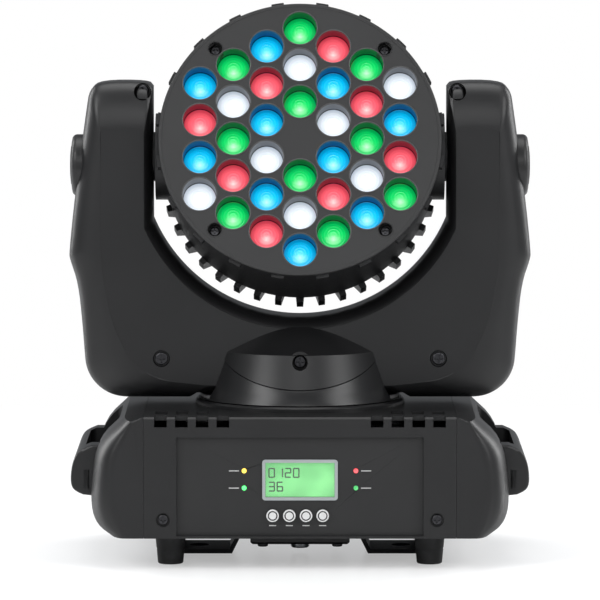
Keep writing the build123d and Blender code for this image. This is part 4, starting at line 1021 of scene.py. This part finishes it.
@dataclass
class Underside:
    """Feet, hanging brackets and their knurled locks."""

    foot: Point2 = (83.0, 60.0)
    bracket_x: float = 65.6
    lock_offset: float = 10.0
    lock_r: float = 6.5

    def build(self) -> None:
        """Builds the pieces under the base."""
        self._feet()
        stand_in("hanging_brackets", "base", BLACK_COAT, 0.5)
        self._locks()

    def _feet(self) -> None:
        """Builds four tapered feet with a rolled tread and a moulding groove."""
        profile = [(0, 0.5), (5.2, 0.5), (5.5, 0), *arc((7.0, 1.2), 1.2, -90, -8, 6), (8.9, 9.0),
                   (8.75, 9.4), (8.8, 9.9), (9.1, 10.4), (9.8, 18.4), (9.6, 19.4), (9.2, 20.0), (0, 20.0)]
        one = lathe("foot", profile, 64)
        smooth(one)
        places = [facing(x, y, 0, "Z", 0) for x in (-self.foot[0], self.foot[0])
                  for y in (-self.foot[1], self.foot[1])]
        copies = [copy_of(one, f"foot_{i}", place) for i, place in enumerate(places)]
        drop(one)
        fit(join("feet_moulded", copies), "base", FOOT_RUBBER, ["feet"])

    def _locks(self) -> None:
        """Builds four quarter-turn locks with a knurled rim and a coin slot."""
        teeth = 28
        rings = []
        for shrink, z in ((1.2, 10.0), (0.4, 10.5), (0.0, 11.2), (0.0, 16.3), (0.5, 17.0)):
            rings.append([((self.lock_r - shrink - 0.4 * (i % 2)) * math.cos(math.pi * i / teeth),
                           (self.lock_r - shrink - 0.4 * (i % 2)) * math.sin(math.pi * i / teeth), z)
                          for i in range(2 * teeth)])
        one = loft("lock", rings)
        cut(one, [block("coin", (-4.6, -0.7, 9.0), (4.6, 0.7, 11.6))])
        smooth(one, 24)
        stud = rod("stud", 3.0, (0, 0, 16.9), (0, 0, 21.8))
        one = join("lock", [one, stud])
        copies = [copy_of(one, f"lock_{i}", facing(side * self.bracket_x + offset, 0, 0, "Z", 0))
                  for i, (side, offset) in enumerate(
                      (s, o) for s in (-1, 1) for o in (-self.lock_offset, self.lock_offset))]
        drop(one)
        fit(join("locks_knurled", copies), "base", BLACK_COAT, ["quarter_turn_locks"])


SEGMENTS = {"0": "abcdef", "1": "bc", "2": "abdeg", "3": "abcdg", "4": "bcfg", "5": "acdfg",
            "6": "acdefg", "7": "abc", "8": "abcdefg", "9": "abcdfg"}


@dataclass
class ControlPanel:
    """The recessed panel: screen, four buttons and four indicator lights."""

    panel_y: float = -89.85
    screen_z: float = 57.2
    screen_half: Point2 = (22.0, 11.0)
    button_first: float = -17.4
    button_pitch: float = 10.6
    button_z: float = 34.5
    button_r: float = 4.0
    light_x: float = 35.5
    rows: tuple[tuple[float, str], ...] = ((4.4, "0120"), (-4.4, "36"))
    digit: Point2 = (3.4, 5.6)

    def build(self) -> None:
        """Builds the panel."""
        stand_in("control_panel", "base", PANEL_PLASTIC, 0.25)
        stand_in("screen_bezel", "base", RIM_GREY, 0.3)
        self._screen()
        for index in range(4):
            self._button(index)
        self._lights()
        self._marks()

    def _screen(self) -> None:
        """Builds the lit screen's face and the digits on it."""
        width, height = self.screen_half
        front = self.panel_y + 1.2
        glass = block("screen_face", (-width + 0.1, front - 0.06, self.screen_z - height + 0.1),
                      (width - 0.1, front - 0.01, self.screen_z + height - 0.1))
        soften(glass, 0.02, 1)
        fit(glass, "base", SCREEN)
        bars = []
        for row_z, text in self.rows:
            for place, char in enumerate(text):
                x = -width + 4.0 + place * 5.2
                bars += self._digit(char, x, self.screen_z + row_z, front - 0.1)
        digits = join("screen_digits", bars)
        fit(digits, "base", SCREEN_DIGITS)

    def _digit(self, char: str, x: float, z: float, y: float) -> list[bpy.types.Object]:
        """Builds the bars of one digit whose middle is at (x, z)."""
        half, tall = self.digit[0] / 2, self.digit[1] / 2
        thick = 0.42
        spans = {"a": (-half, half, tall), "g": (-half, half, 0.0), "d": (-half, half, -tall)}
        posts = {"b": (half, 0, tall), "c": (half, -tall, 0), "e": (-half, -tall, 0), "f": (-half, 0, tall)}
        bars = []
        for part in SEGMENTS[char]:
            if part in spans:
                x0, x1, up = spans[part]
                low, high = (x + x0, y, z + up - thick), (x + x1, y + 0.03, z + up + thick)
            else:
                side, z0, z1 = posts[part]
                low, high = (x + side - thick, y, z + z0), (x + side + thick, y + 0.03, z + z1)
            bar = block("bar", low, high)
            modify(bar, "BEVEL", width=0.01 * MM, segments=1, limit_method="ANGLE")
            bars.append(bar)
        return bars

    def _button(self, index: int) -> None:
        """Builds one button: a white ring, a dark channel and a bright dished middle."""
        r = self.button_r
        # Heights run out of the panel, from its face
        profile = [(0, -4.0), (r, -4.0), (r, -3.35), (r - 1, -3.35), (r - 1, 1.4), (r, 1.4),
                   (r, 2.2), *arc((r - 0.4, 2.2), 0.4, 0, 90, 4), (3.1, 2.6), (2.9, 2.2), (2.55, 2.2),
                   (2.35, 2.5), (1.4, 2.35), (0, 2.3)]
        cap = lathe(f"button_cap_{index + 1}", profile, 64)
        smooth(cap, 35)
        x = self.button_first + index * self.button_pitch
        cap.data.transform(facing(x, self.panel_y, self.button_z, "X", 90))
        cap.data.materials.append(BUTTON_WHITE.material())
        cap.data.materials.append(PANEL_PLASTIC.material())
        for face in cap.data.polygons:
            off = math.hypot(face.center.x / MM - x, face.center.z / MM - self.button_z)
            dark = 2.4 < off < 3.15 or face.center.y / MM > self.panel_y - 1.5
            face.material_index = int(dark)
        fit(cap, f"button_{index + 1}", None, [f"menu_button_{index + 1}"])

    def _lights(self) -> None:
        """Builds the four indicator lights."""
        profile = [(0, -8.0), (1.5, -8.0), (1.5, 0.1), *arc((1.0, 0.1), 0.5, 0, 90, 5), (0, 0.65)]
        kinds = ((-1, 63.0, AMBER), (-1, 52.0, GREEN), (1, 63.0, RED), (1, 52.0, DIM_GREEN))
        made = []
        for side, z, finish in kinds:
            lamp = dress(lathe("light", profile, 40), finish)
            smooth(lamp)
            lamp.data.transform(facing(side * self.light_x, self.panel_y, z, "X", 90))
            made.append(lamp)
        fit(join("indicator_domes", made), "base", None, ["indicator_lights"])

    def _marks(self) -> None:
        """Prints a plain tick by every light and button."""
        y = self.panel_y - 0.04
        ticks = []
        for side in (-1, 1):
            for z in (63.0, 52.0):
                x = side * (self.light_x + 6.5)
                ticks.append(block("tick", (x - 3.2, y, z - 0.3), (x + 3.2, y + 0.03, z + 0.3)))
        for index in range(4):
            x = self.button_first + index * self.button_pitch
            ticks.append(block("tick", (x - 2.2, y, 27.7), (x + 2.2, y + 0.03, 28.3)))
        for tick in ticks:
            modify(tick, "BEVEL", width=0.01 * MM, segments=1, limit_method="ANGLE")
        fit(join("panel_ticks", ticks), "base", WHITE_INK)


@dataclass
class RearSockets:
    """The mains inlet and the two data sockets."""

    def build(self) -> None:
        """Builds the sockets."""
        stand_in("power_inlet", "base", SOCKET_PLASTIC, 0.3)
        stand_in("data_sockets", "base", SOCKET_PLASTIC, 0.25)


# ---- Yoke and turret ------------------------------------------------------------------------
@dataclass
class Yoke:
    """Both yoke covers with their elliptical bevels, the turret, the side caps and screws."""

    half_depth: float = 29.0
    band: float = 12.0
    wall: float = 3.0
    crotch: Point2 = (103.0, 110.0)
    cap_r: float = 20.0
    cap_z: float = 252.0
    hub_r: float = 16.8
    low_screw: Point2 = (89.4, 128.6)
    top_screw: Point2 = (101.5, 300.5)
    top_seat: float = 13.5
    turret_screw: Point2 = (48.0, 128.6)
    part_line_z: float = 111.0
    part_line_rise: float = 26.0
    bevel_steps: int = 12
    wide: tuple[Point2, ...] = ((95.0, 303.2), (98.1, 306.9), (128.9, 306.9), (135.9, 301.5),
                                (137.8, 290.0), (145.7, 232.5), (149.4, 196.5), (149.1, 192.0),
                                (143.7, 176.4), (141.0, 150.5))
    flat: tuple[Point2, ...] = ((100.4, 275.4), (101.6, 276.6), (127.4, 276.6), (128.4, 276.0),
                                (128.6, 272.0), (128.7, 232.5), (128.6, 206.5), (128.4, 198.0),
                                (127.4, 183.0), (121.4, 151.5))
    wide_corner: tuple[Point2, ...] = ((139.4, 128.0), (131.0, 109.6), (113.0, 102.4))
    flat_corner: tuple[Point2, ...] = ((112.4, 132.5), (101.0, 120.4), (82.0, 113.6))
    wide_foot: tuple[Point2, ...] = ((72.0, 102.4), (70.0, 105.2))
    flat_foot: tuple[Point2, ...] = ((60.0, 111.2), (58.0, 111.0))

    def build(self) -> None:
        """Builds the yoke's outside."""
        front = join("yoke_front_moulding", [self._cover(), self._turret_upper()])
        rear = copy_of(front, "yoke_rear_moulding", Matrix.Scale(-1, 4, (0, 1, 0)))
        for cover in (front, rear):
            smooth(cover, 26)
        fit(front, "yoke", BODY_PLASTIC, ["yoke_front_cover"])
        fit(rear, "yoke", BODY_PLASTIC, ["yoke_rear_cover"])
        self._turret_skirt()
        self._side_caps()
        self._screws()

    def _section(self, t: float, y: float) -> list[Point3]:
        """The outline from its widest (t = 0) to the flat front (t = 1), at depth y."""
        side = [between(a, b, t) for a, b in zip(self.wide, self.flat)]
        corner = [between(a, b, t) for a, b in zip(self.wide_corner, self.flat_corner)]
        foot = [between(a, b, t) for a, b in zip(self.wide_foot, self.flat_foot)]
        outer = eased([*side, *arc_through(*corner, 9)])
        half = [*outer, *foot]
        radius = self.crotch[0] + (self.crotch[1] - self.crotch[0]) * t
        inner = side[0][0]
        swing = math.degrees(math.asin(inner / radius))
        crotch = arc((0, TILT_HEIGHT), radius, -90 - swing, -90 + swing, 61)
        outline = [*half, *[(-x, z) for x, z in reversed(half)], *crotch]
        return [(x, y, z) for x, z in outline]

    def _cover(self) -> bpy.types.Object:
        """Builds the front cover's shell and cuts its openings."""
        rings = [self._section(0.0, -0.1), self._section(0.0, -self.band + 0.6)]
        for i in range(self.bevel_steps + 1):
            angle = math.radians(80 * i / self.bevel_steps)
            t = (1 - math.cos(angle)) / (1 - math.cos(math.radians(80)))
            rise = math.sin(angle) / math.sin(math.radians(80))
            rings.append(self._section(t, -self.band - (self.half_depth - self.band) * rise))
        rings.append(self._section(1.035, -self.half_depth + 0.3))
        cover = loft("yoke_front_moulding", rings, start=False)
        modify(cover, "SOLIDIFY", thickness=self.wall * MM, offset=-1.0, use_even_offset=True,
               use_rim=True)
        tools = [rod("hub", self.hub_r, (-110, 0, TILT_HEIGHT), (110, 0, TILT_HEIGHT), 96)]
        cut(cover, tools)
        cut(cover, [rod("well", 30.0, (0, 0, 90), (0, 0, 112.0), 96)])
        for side in (-1, 1):
            cut(cover, [rod("cap_hole", self.cap_r + 0.3, (side * 130, 0, self.cap_z),
                            (side * 160, 0, self.cap_z), 96)])
            x, z = side * self.low_screw[0], self.low_screw[1]
            cut(cover, [self._seat(x, z, self.half_depth - 2.2)])
            x, z = side * self.top_screw[0], self.top_screw[1]
            cut(cover, [self._seat(x, z, self.top_seat)])
        return cover

    def _seat(self, x: float, z: float, depth: float) -> bpy.types.Object:
        """A screw's counterbore as a tool, coned at its bottom."""
        bore = lathe("seat", [(0, 0), (4.9, 0), (5.5, 1.0), (5.5, 30), (0, 30)], 48)
        bore.data.transform(facing(x, -depth, z, "X", 90))
        return bore

    def _turret(self, inset: float) -> list[Point2]:
        """The turret's outer or inner profile."""
        top = 149.1
        skin = [(66.0, 101.6), (65.0, 104.2), (63.3, 107.4), (62.0, 110.0), (59.4, 118.0),
                (57.0, 126.0), (55.2, 132.6), *arc((54.2, 132.4), 0.9, 0, 55, 4), (29.0, top)]
        return [(r - inset, z - inset * 0.6 * (z > 130)) for r, z in skin]

    def _turret_wall(self, name: str) -> bpy.types.Object:
        """The turret's wall as a closed ring."""
        outer, inner = self._turret(0.0), self._turret(self.wall)
        return lathe(name, [*outer, *reversed(inner)], 160, closed=True)

    def _wedge(self, name: str, lift: float) -> bpy.types.Object:
        """All that lies in front of the yoke and above the sloping part line."""
        wedge = block(name, (-100, 0, 0), (100, 160, 120))
        wedge.data.transform(facing(0, -62.0, self.part_line_z + lift, "X", self.part_line_rise))
        slice_off(wedge, (0, -self.half_depth + 1.2, 0), (0, 1, 0))
        return wedge

    def _turret_upper(self) -> bpy.types.Object:
        """Builds the front cover's part of the turret, with its screw's boss."""
        upper = self._turret_wall("turret_upper")
        wedge = self._wedge("wedge", 0.3)
        combine(upper, wedge, "INTERSECT")
        seat_y, z = self.turret_screw
        boss = rod("boss", 7.0, (0, -seat_y + 2, z), (0, -54.0, z), 48)
        combine(upper, boss, "UNION")
        cut(upper, [rod("bore", 5.0, (0, -seat_y, z), (0, -80, z), 48)])
        soften(upper, 0.35, 2, 40)
        return upper

    def _turret_skirt(self) -> None:
        """Builds the turret's skirt below the part line, front and back."""
        skirt = self._turret_wall("turret_skirt")
        tools = [self._wedge("front_wedge", -0.25)]
        tools.append(copy_of(tools[0], "rear_wedge", Matrix.Scale(-1, 4, (0, 1, 0))))
        for tool in tools:
            cut(skirt, [tool])
        gap = self.half_depth + 0.15
        cut(skirt, [block("yoke_room", (-90, -gap, 102.1), (90, gap, 200))])
        soften(skirt, 0.3, 2, 40)
        shelf = lathe("shelf", [(32, 101.7), (64.5, 101.7), (64.5, 105.0), (32, 105.0)], 128, closed=True)
        soften(shelf, 0.3, 1)
        fit(join("turret_skirt", [skirt, shelf]), "yoke", TURRET_PLASTIC, ["turret_ring"])

    def _side_caps(self) -> None:
        """Builds the domed caps over the ends of the tilt shafts."""
        r = self.cap_r
        profile = [(0, 143.5), (r - 3, 143.5), (r - 3, 131), (r - 0.3, 131), (r, 131.3), (r, 144.0),
                   *arc((r - 3.4, 144.2), 3.4, 0, 70, 8), (15.0, 147.9), (14.7, 147.3), (12.6, 147.4),
                   (12.3, 148.4), (8.0, 148.85), (0, 149.0)]
        one = lathe("cap", profile, 96)
        smooth(one)
        copies = []
        for side in (-1, 1):
            copies.append(copy_of(one, f"cap_{side}", facing(0, 0, self.cap_z, "Y", side * 90)))
        drop(one)
        fit(join("side_caps_domed", copies), "yoke", BODY_PLASTIC, ["side_caps"])

    def _screws(self) -> None:
        """Builds the covers' screws, front and back."""
        seats = [(side * self.low_screw[0], self.half_depth - 2.2, self.low_screw[1]) for side in (-1, 1)]
        seats += [(side * self.top_screw[0], self.top_seat, self.top_screw[1]) for side in (-1, 1)]
        seats += [(0, *self.turret_screw)]
        places = []
        for x, seat, z in seats:
            places += [facing(x, -seat, z, "X", 90), facing(x, seat, z, "X", -90)]
        group = CrossScrew(head_r=4.2, length=9.0).group("yoke_cross_screws", places)
        fit(group, "yoke", BLACK_STEEL, ["yoke_screws"])


# ---- Head ----------------------------------------------------------------------------------
@dataclass
class LampHead:
    """The round face with its wells and lenses, the drum and what is behind it."""

    columns: tuple[str, ...] = ("BRBW", "GWGRG", "BRBWBR", "GWG-GWB", "RBWBRG", "GRGWB", "WBRG")
    pitch: float = 24.75
    face_r: float = 91.0
    face_z: float = 41.0
    wall: float = 3.0
    well_r: float = 10.75
    lens_r: float = 10.45
    lens_z: float = 29.0
    dome: float = 2.6
    screw_r: float = 81.5
    screw_angle: float = 48.0
    fan_screw: float = 35.75
    cover_z: float = -66.15

    def build(self) -> None:
        """Builds the head."""
        self._face()
        for colour in LampColour:
            self._wells(colour)
            self._lenses(colour)
        stand_in("head_shell", "head", BLACK_COAT, 0.35)
        stand_in("heat_sink", "head", SINK_COAT, 0.45)
        stand_in("rear_cover", "head", BLACK_COAT, 0.3)
        stand_in("fan_frame", "head", FAN_PLASTIC, 0.3)
        stand_in("trunnions", "head", SINK_COAT, 0.5)
        stand_in("fan_rotor", "fan", FAN_PLASTIC, 0.2)
        self._screws()

    def _places(self, letter: str = "") -> list[Point2]:
        """The lamps' places on the face, of one colour or of all."""
        found = []
        step = self.pitch * math.sqrt(3) / 2
        middle = (len(self.columns) - 1) / 2
        for i, column in enumerate(self.columns):
            for j, colour in enumerate(column):
                if colour != "-" and letter in ("", colour):
                    found.append(((i - middle) * step, ((len(column) - 1) / 2 - j) * self.pitch))
        return found

    def _screw_places(self) -> list[Point2]:
        """The places of the four face screws."""
        angle = math.radians(self.screw_angle)
        return [(sx * self.screw_r * math.cos(angle), sy * self.screw_r * math.sin(angle))
                for sx in (-1, 1) for sy in (-1, 1)]

    def _face(self) -> None:
        """Builds the face plate with a rolled rim and its holes."""
        r, z = self.face_r, self.face_z
        rim = [*arc((r - 0.9, z - 0.9), 0.9, 0, 90, 6), (r - 2.2, z), (r - 2.4, z - 0.25)]
        back = z - self.wall
        plate = lathe("face_moulding", [(0, back), (r - 0.3, back), (r, back + 0.3), *rim,
                                        (0, z - 0.25)], 192)
        tools = [rod("hole", self.well_r + 0.75, (x, y, back - 1), (x, y, z + 1), 64)
                 for x, y in self._places()]
        tools += [rod("recess", 4.6, (x, y, back - 1), (x, y, z + 1), 40) for x, y in self._screw_places()]
        cut(plate, tools)
        soften(plate, 0.15, 1, 40)
        cups = []
        for x, y in self._screw_places():
            cup = lathe("cup", [(1.9, z - 9), (5.8, z - 9), (5.8, back + 0.1), (5.2, back + 0.1), (5.2, z),
                                (4.9, z + 0.0), (4.4, z - 0.5), (4.4, z - 7), (1.9, z - 7)], 48, closed=True)
            cup.data.transform(facing(x, y, 0, "Z", 0))
            smooth(cup)
            cups.append(cup)
        plate = join("face_moulding", [plate, *cups])
        plate.data.transform(HEAD_PLACE)
        fit(plate, "head", FACE_PLASTIC, ["face_plate"])

    def _mark(self, obj: bpy.types.Object, value: Callable[[Vector], Point2]) -> None:
        """Writes a UV map that the lit finishes read."""
        layer = obj.data.uv_layers.new(name="lens")
        for loop in obj.data.loops:
            layer.data[loop.index].uv = value(obj.data.vertices[loop.vertex_index].co)

    def _wells(self, colour: LampColour) -> None:
        """Builds the wells of one colour: a tube with a rolled lip in a lighter grey as a painted highlight,
        and an inner wall with painted glow from its lens.
        """
        z, r = self.face_z, self.well_r
        low = self.lens_z + 0.6
        lip = arc((r + 0.42, z - 0.32), 0.42, 20, 180, 7)
        profile = [(r + 0.75, low), (r + 0.75, z - 0.4), *lip, (r, z - 1.0), (r, low)]
        one = lathe("well", profile, 64, closed=True)
        self._mark(one, lambda p: (0.5, (p.z / MM - low) / (z - low)))
        # The lip is a lighter grey than the face: a painted highlight.
        one.data.materials.append(WELL_LIP_PAINTED_HIGHLIGHT.material())
        # The inner wall glows in its lens's colour: painted light from the lens.
        one.data.materials.append(colour.wall.material())
        for face in one.data.polygons:
            off = math.hypot(face.center.x, face.center.y) / MM
            face.material_index = int(off < r + 0.05 and face.center.z / MM < z - 0.5)
        smooth(one, 60)
        copies = [copy_of(one, f"well_{i}", HEAD_PLACE @ facing(x, y, 0, "Z", 0))
                  for i, (x, y) in enumerate(self._places(colour.letter))]
        drop(one)
        fit(join(f"wells_{colour.name.lower()}", copies), "head")

    def _lenses(self, colour: LampColour) -> None:
        """Builds the lenses of one colour: a stepped dome over a smooth reflector cone."""
        r, z = self.lens_r, self.lens_z
        steps = 26
        crown = []
        for i in range(steps + 1):
            out = r * (1 - i / steps)
            height = z + self.dome * math.sqrt(max(0.0, 1 - (out / r) ** 2))
            crown.append((out, height - 0.09 * (i % 2) * (out > 3.2)))
        profile = [(0, 12.0), (4.2, 12.0), (r - 1.6, z - 2.2), (r, z - 2.2), *crown]
        one = lathe("lens", profile, 64)
        self._mark(one, lambda p: (p.x / MM / (2 * r) + 0.5, p.y / MM / (2 * r) + 0.5))
        smooth(one, 30)
        copies = [copy_of(one, f"lens_{i}", HEAD_PLACE @ facing(x, y, 0, "Z", 0))
                  for i, (x, y) in enumerate(self._places(colour.letter))]
        drop(one)
        name = colour.name.lower()
        fit(join(f"collimators_{name}", copies), "head", colour.lens, [f"lenses_{name}"])

    def _screws(self) -> None:
        """Builds the face's screws and the long ones through the fan."""
        places = [HEAD_PLACE @ facing(x, y, self.face_z - 7, "Z", 0) for x, y in self._screw_places()]
        short = CrossScrew(length=7.0).group("face_cross_screws", places)
        places = [HEAD_PLACE @ facing(sx * self.fan_screw, sy * self.fan_screw, self.cover_z, "X", 180)
                  for sx in (-1, 1) for sy in (-1, 1)]
        long = CrossScrew(length=24.0).group("fan_cross_screws", places)
        fit(join("head_cross_screws", [short, long]), "head", BLACK_STEEL, ["head_screws"])


# ---- What is inside -------------------------------------------------------------------------
INSIDE = {
    "chassis": BLACK_COAT, "screen_window": WINDOW, "screen_module": GREEN_BOARD,
    "display_board": GREEN_BOARD, "bearing_plate": ZINC, "pan_bearing_outer": STEEL,
    "pan_motor": MOTOR_COAT, "pan_belt": BELT_RUBBER, "power_supply": ZINC,
    "driver_board": GREEN_BOARD, "pan_motor_pulley": ALUMINIUM, "pan_bearing_inner": STEEL,
    "pan_pulley": ALUMINIUM, "pan_shaft": STEEL, "yoke_frame": ZINC, "tilt_bearing_outers": STEEL,
    "tilt_motor": MOTOR_COAT, "tilt_belt": BELT_RUBBER, "tilt_motor_pulley": ALUMINIUM,
    "tilt_bearing_inners": STEEL, "tilt_pulley": ALUMINIUM, "lens_holder": BODY_PLASTIC,
    "lamp_board": WHITE_BOARD,
}


def finish_inside() -> None:
    """Gives a detailed finish to every CAD node that no piece stands for."""
    for name, finish in INSIDE.items():
        node = bpy.data.objects[name]
        for slot in node.material_slots:
            slot.link = "OBJECT"
            slot.material = finish.material()
        LOG.info("%s: %s", name, finish.name)


# ---- Studio --------------------------------------------------------------------------------
@dataclass
class Studio:
    """The camera, the white sweep and soft lights."""

    target: Point3 = (0.0, 0.0, 0.1641)
    distance: float = 3.5
    elevation: float = 5.0
    lens: float = 323.0
    lights: list[tuple[str, Point3, Point2, float]] = field(default_factory=lambda: [
        ("key_left", (-1.5, -1.3, 1.5), (0.9, 1.5), 24.0),
        ("key_right", (1.6, -1.1, 1.3), (0.9, 1.5), 20.0),
        ("front_fill", (0.0, -3.0, 1.6), (1.6, 0.9), 14.0),
        ("top", (0.0, 0.2, 2.2), (1.6, 1.4), 20.0),
        ("rim_left", (-1.7, 1.2, 0.9), (0.5, 1.6), 18.0),
        ("rim_right", (1.7, 1.2, 0.9), (0.5, 1.6), 18.0),
    ])

    def build(self) -> None:
        """Builds the studio."""
        bpy.context.scene.view_settings.view_transform = "Standard"
        self._camera()
        self._world()
        self._floor()
        for name, place, size, power in self.lights:
            self._light(name, Vector(place), size, power)

    def _camera(self) -> None:
        """Adds the camera."""
        angle = math.radians(self.elevation)
        rests = Vector((0, -math.cos(angle), math.sin(angle))) * self.distance + Vector(self.target)
        bpy.ops.object.camera_add(location=rests)
        camera = bpy.context.object
        camera.rotation_euler = (Vector(self.target) - rests).to_track_quat("-Z", "Y").to_euler()
        camera.data.lens = self.lens
        camera.data.sensor_width = 36.0
        camera.data.clip_end = 50.0
        bpy.context.scene.camera = camera

    def _world(self) -> None:
        """Lights everything with a pale room and shows the camera plain white."""
        world = bpy.data.worlds.new("pale_room")
        bpy.context.scene.world = world
        world.use_nodes = True
        sheet = Sheet(world.node_tree)
        seen = sheet.node("ShaderNodeLightPath", output="Is Camera Ray")
        room = sheet.node("ShaderNodeBackground", inputs={"Color": (0.6, 0.62, 0.65, 1), "Strength": 0.42})
        white = sheet.node("ShaderNodeBackground", inputs={"Color": (1, 1, 1, 1), "Strength": 1.0})
        shown = sheet.node("ShaderNodeMixShader", inputs={0: seen, 1: room, 2: white})
        output = world.node_tree.nodes.new("ShaderNodeOutputWorld")
        world.node_tree.links.new(shown.socket, output.inputs["Surface"])

    def _floor(self) -> None:
        """Adds a plain pale floor."""
        rest_tools()
        bpy.ops.mesh.primitive_plane_add(size=14.0, location=(0, 0, -0.0002))
        floor = bpy.context.object
        floor.name = "floor"
        paint = bpy.data.materials.new("pale_floor")
        paint.use_nodes = True
        sheet = Sheet(paint.node_tree)
        seen = sheet.node("ShaderNodeLightPath", output="Is Camera Ray")
        body = sheet.node("ShaderNodeBsdfPrincipled", inputs={
            "Base Color": (0.9, 0.9, 0.9, 1), "Roughness": 0.22, "Specular IOR Level": 0.5})
        glow = sheet.node("ShaderNodeEmission", inputs={"Color": (1, 1, 1, 1), "Strength": 0.4})
        white = sheet.node("ShaderNodeEmission", inputs={"Color": (1, 1, 1, 1), "Strength": 1.0})
        lit = sheet.node("ShaderNodeAddShader", inputs={0: body, 1: glow})
        length = sheet.node("ShaderNodeVectorMath", {"operation": "LENGTH"}, {0: sheet.place()}, "Value")
        far = sheet.node("ShaderNodeMixShader", inputs={0: length.span(0.3, 0.9), 1: lit, 2: white})
        sheet.node_output(sheet.node("ShaderNodeMixShader", inputs={0: seen, 1: body, 2: far}))
        floor.data.materials.append(paint)

    def _light(self, name: str, place: Vector, size: Point2, power: float) -> None:
        """Adds one soft light that faces the object."""
        bpy.ops.object.light_add(type="AREA", location=place)
        light = bpy.context.object
        light.name = name
        light.data.shape = "RECTANGLE"
        light.data.size, light.data.size_y = size
        light.data.energy = power
        light.rotation_euler = (Vector((0, 0, 0.18)) - place).to_track_quat("-Z", "Y").to_euler()


def main() -> None:
    """Builds the scene."""
    logging.basicConfig(level=logging.INFO, format="%(name)s %(message)s")
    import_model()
    rest_tools()
    for maker in (BaseShell(), EndCaps(), Underside(), ControlPanel(), RearSockets(), Yoke(), LampHead()):
        maker.build()
    finish_inside()
    Studio().build()
    rest_tools()


if __name__ == "__main__":
    main()
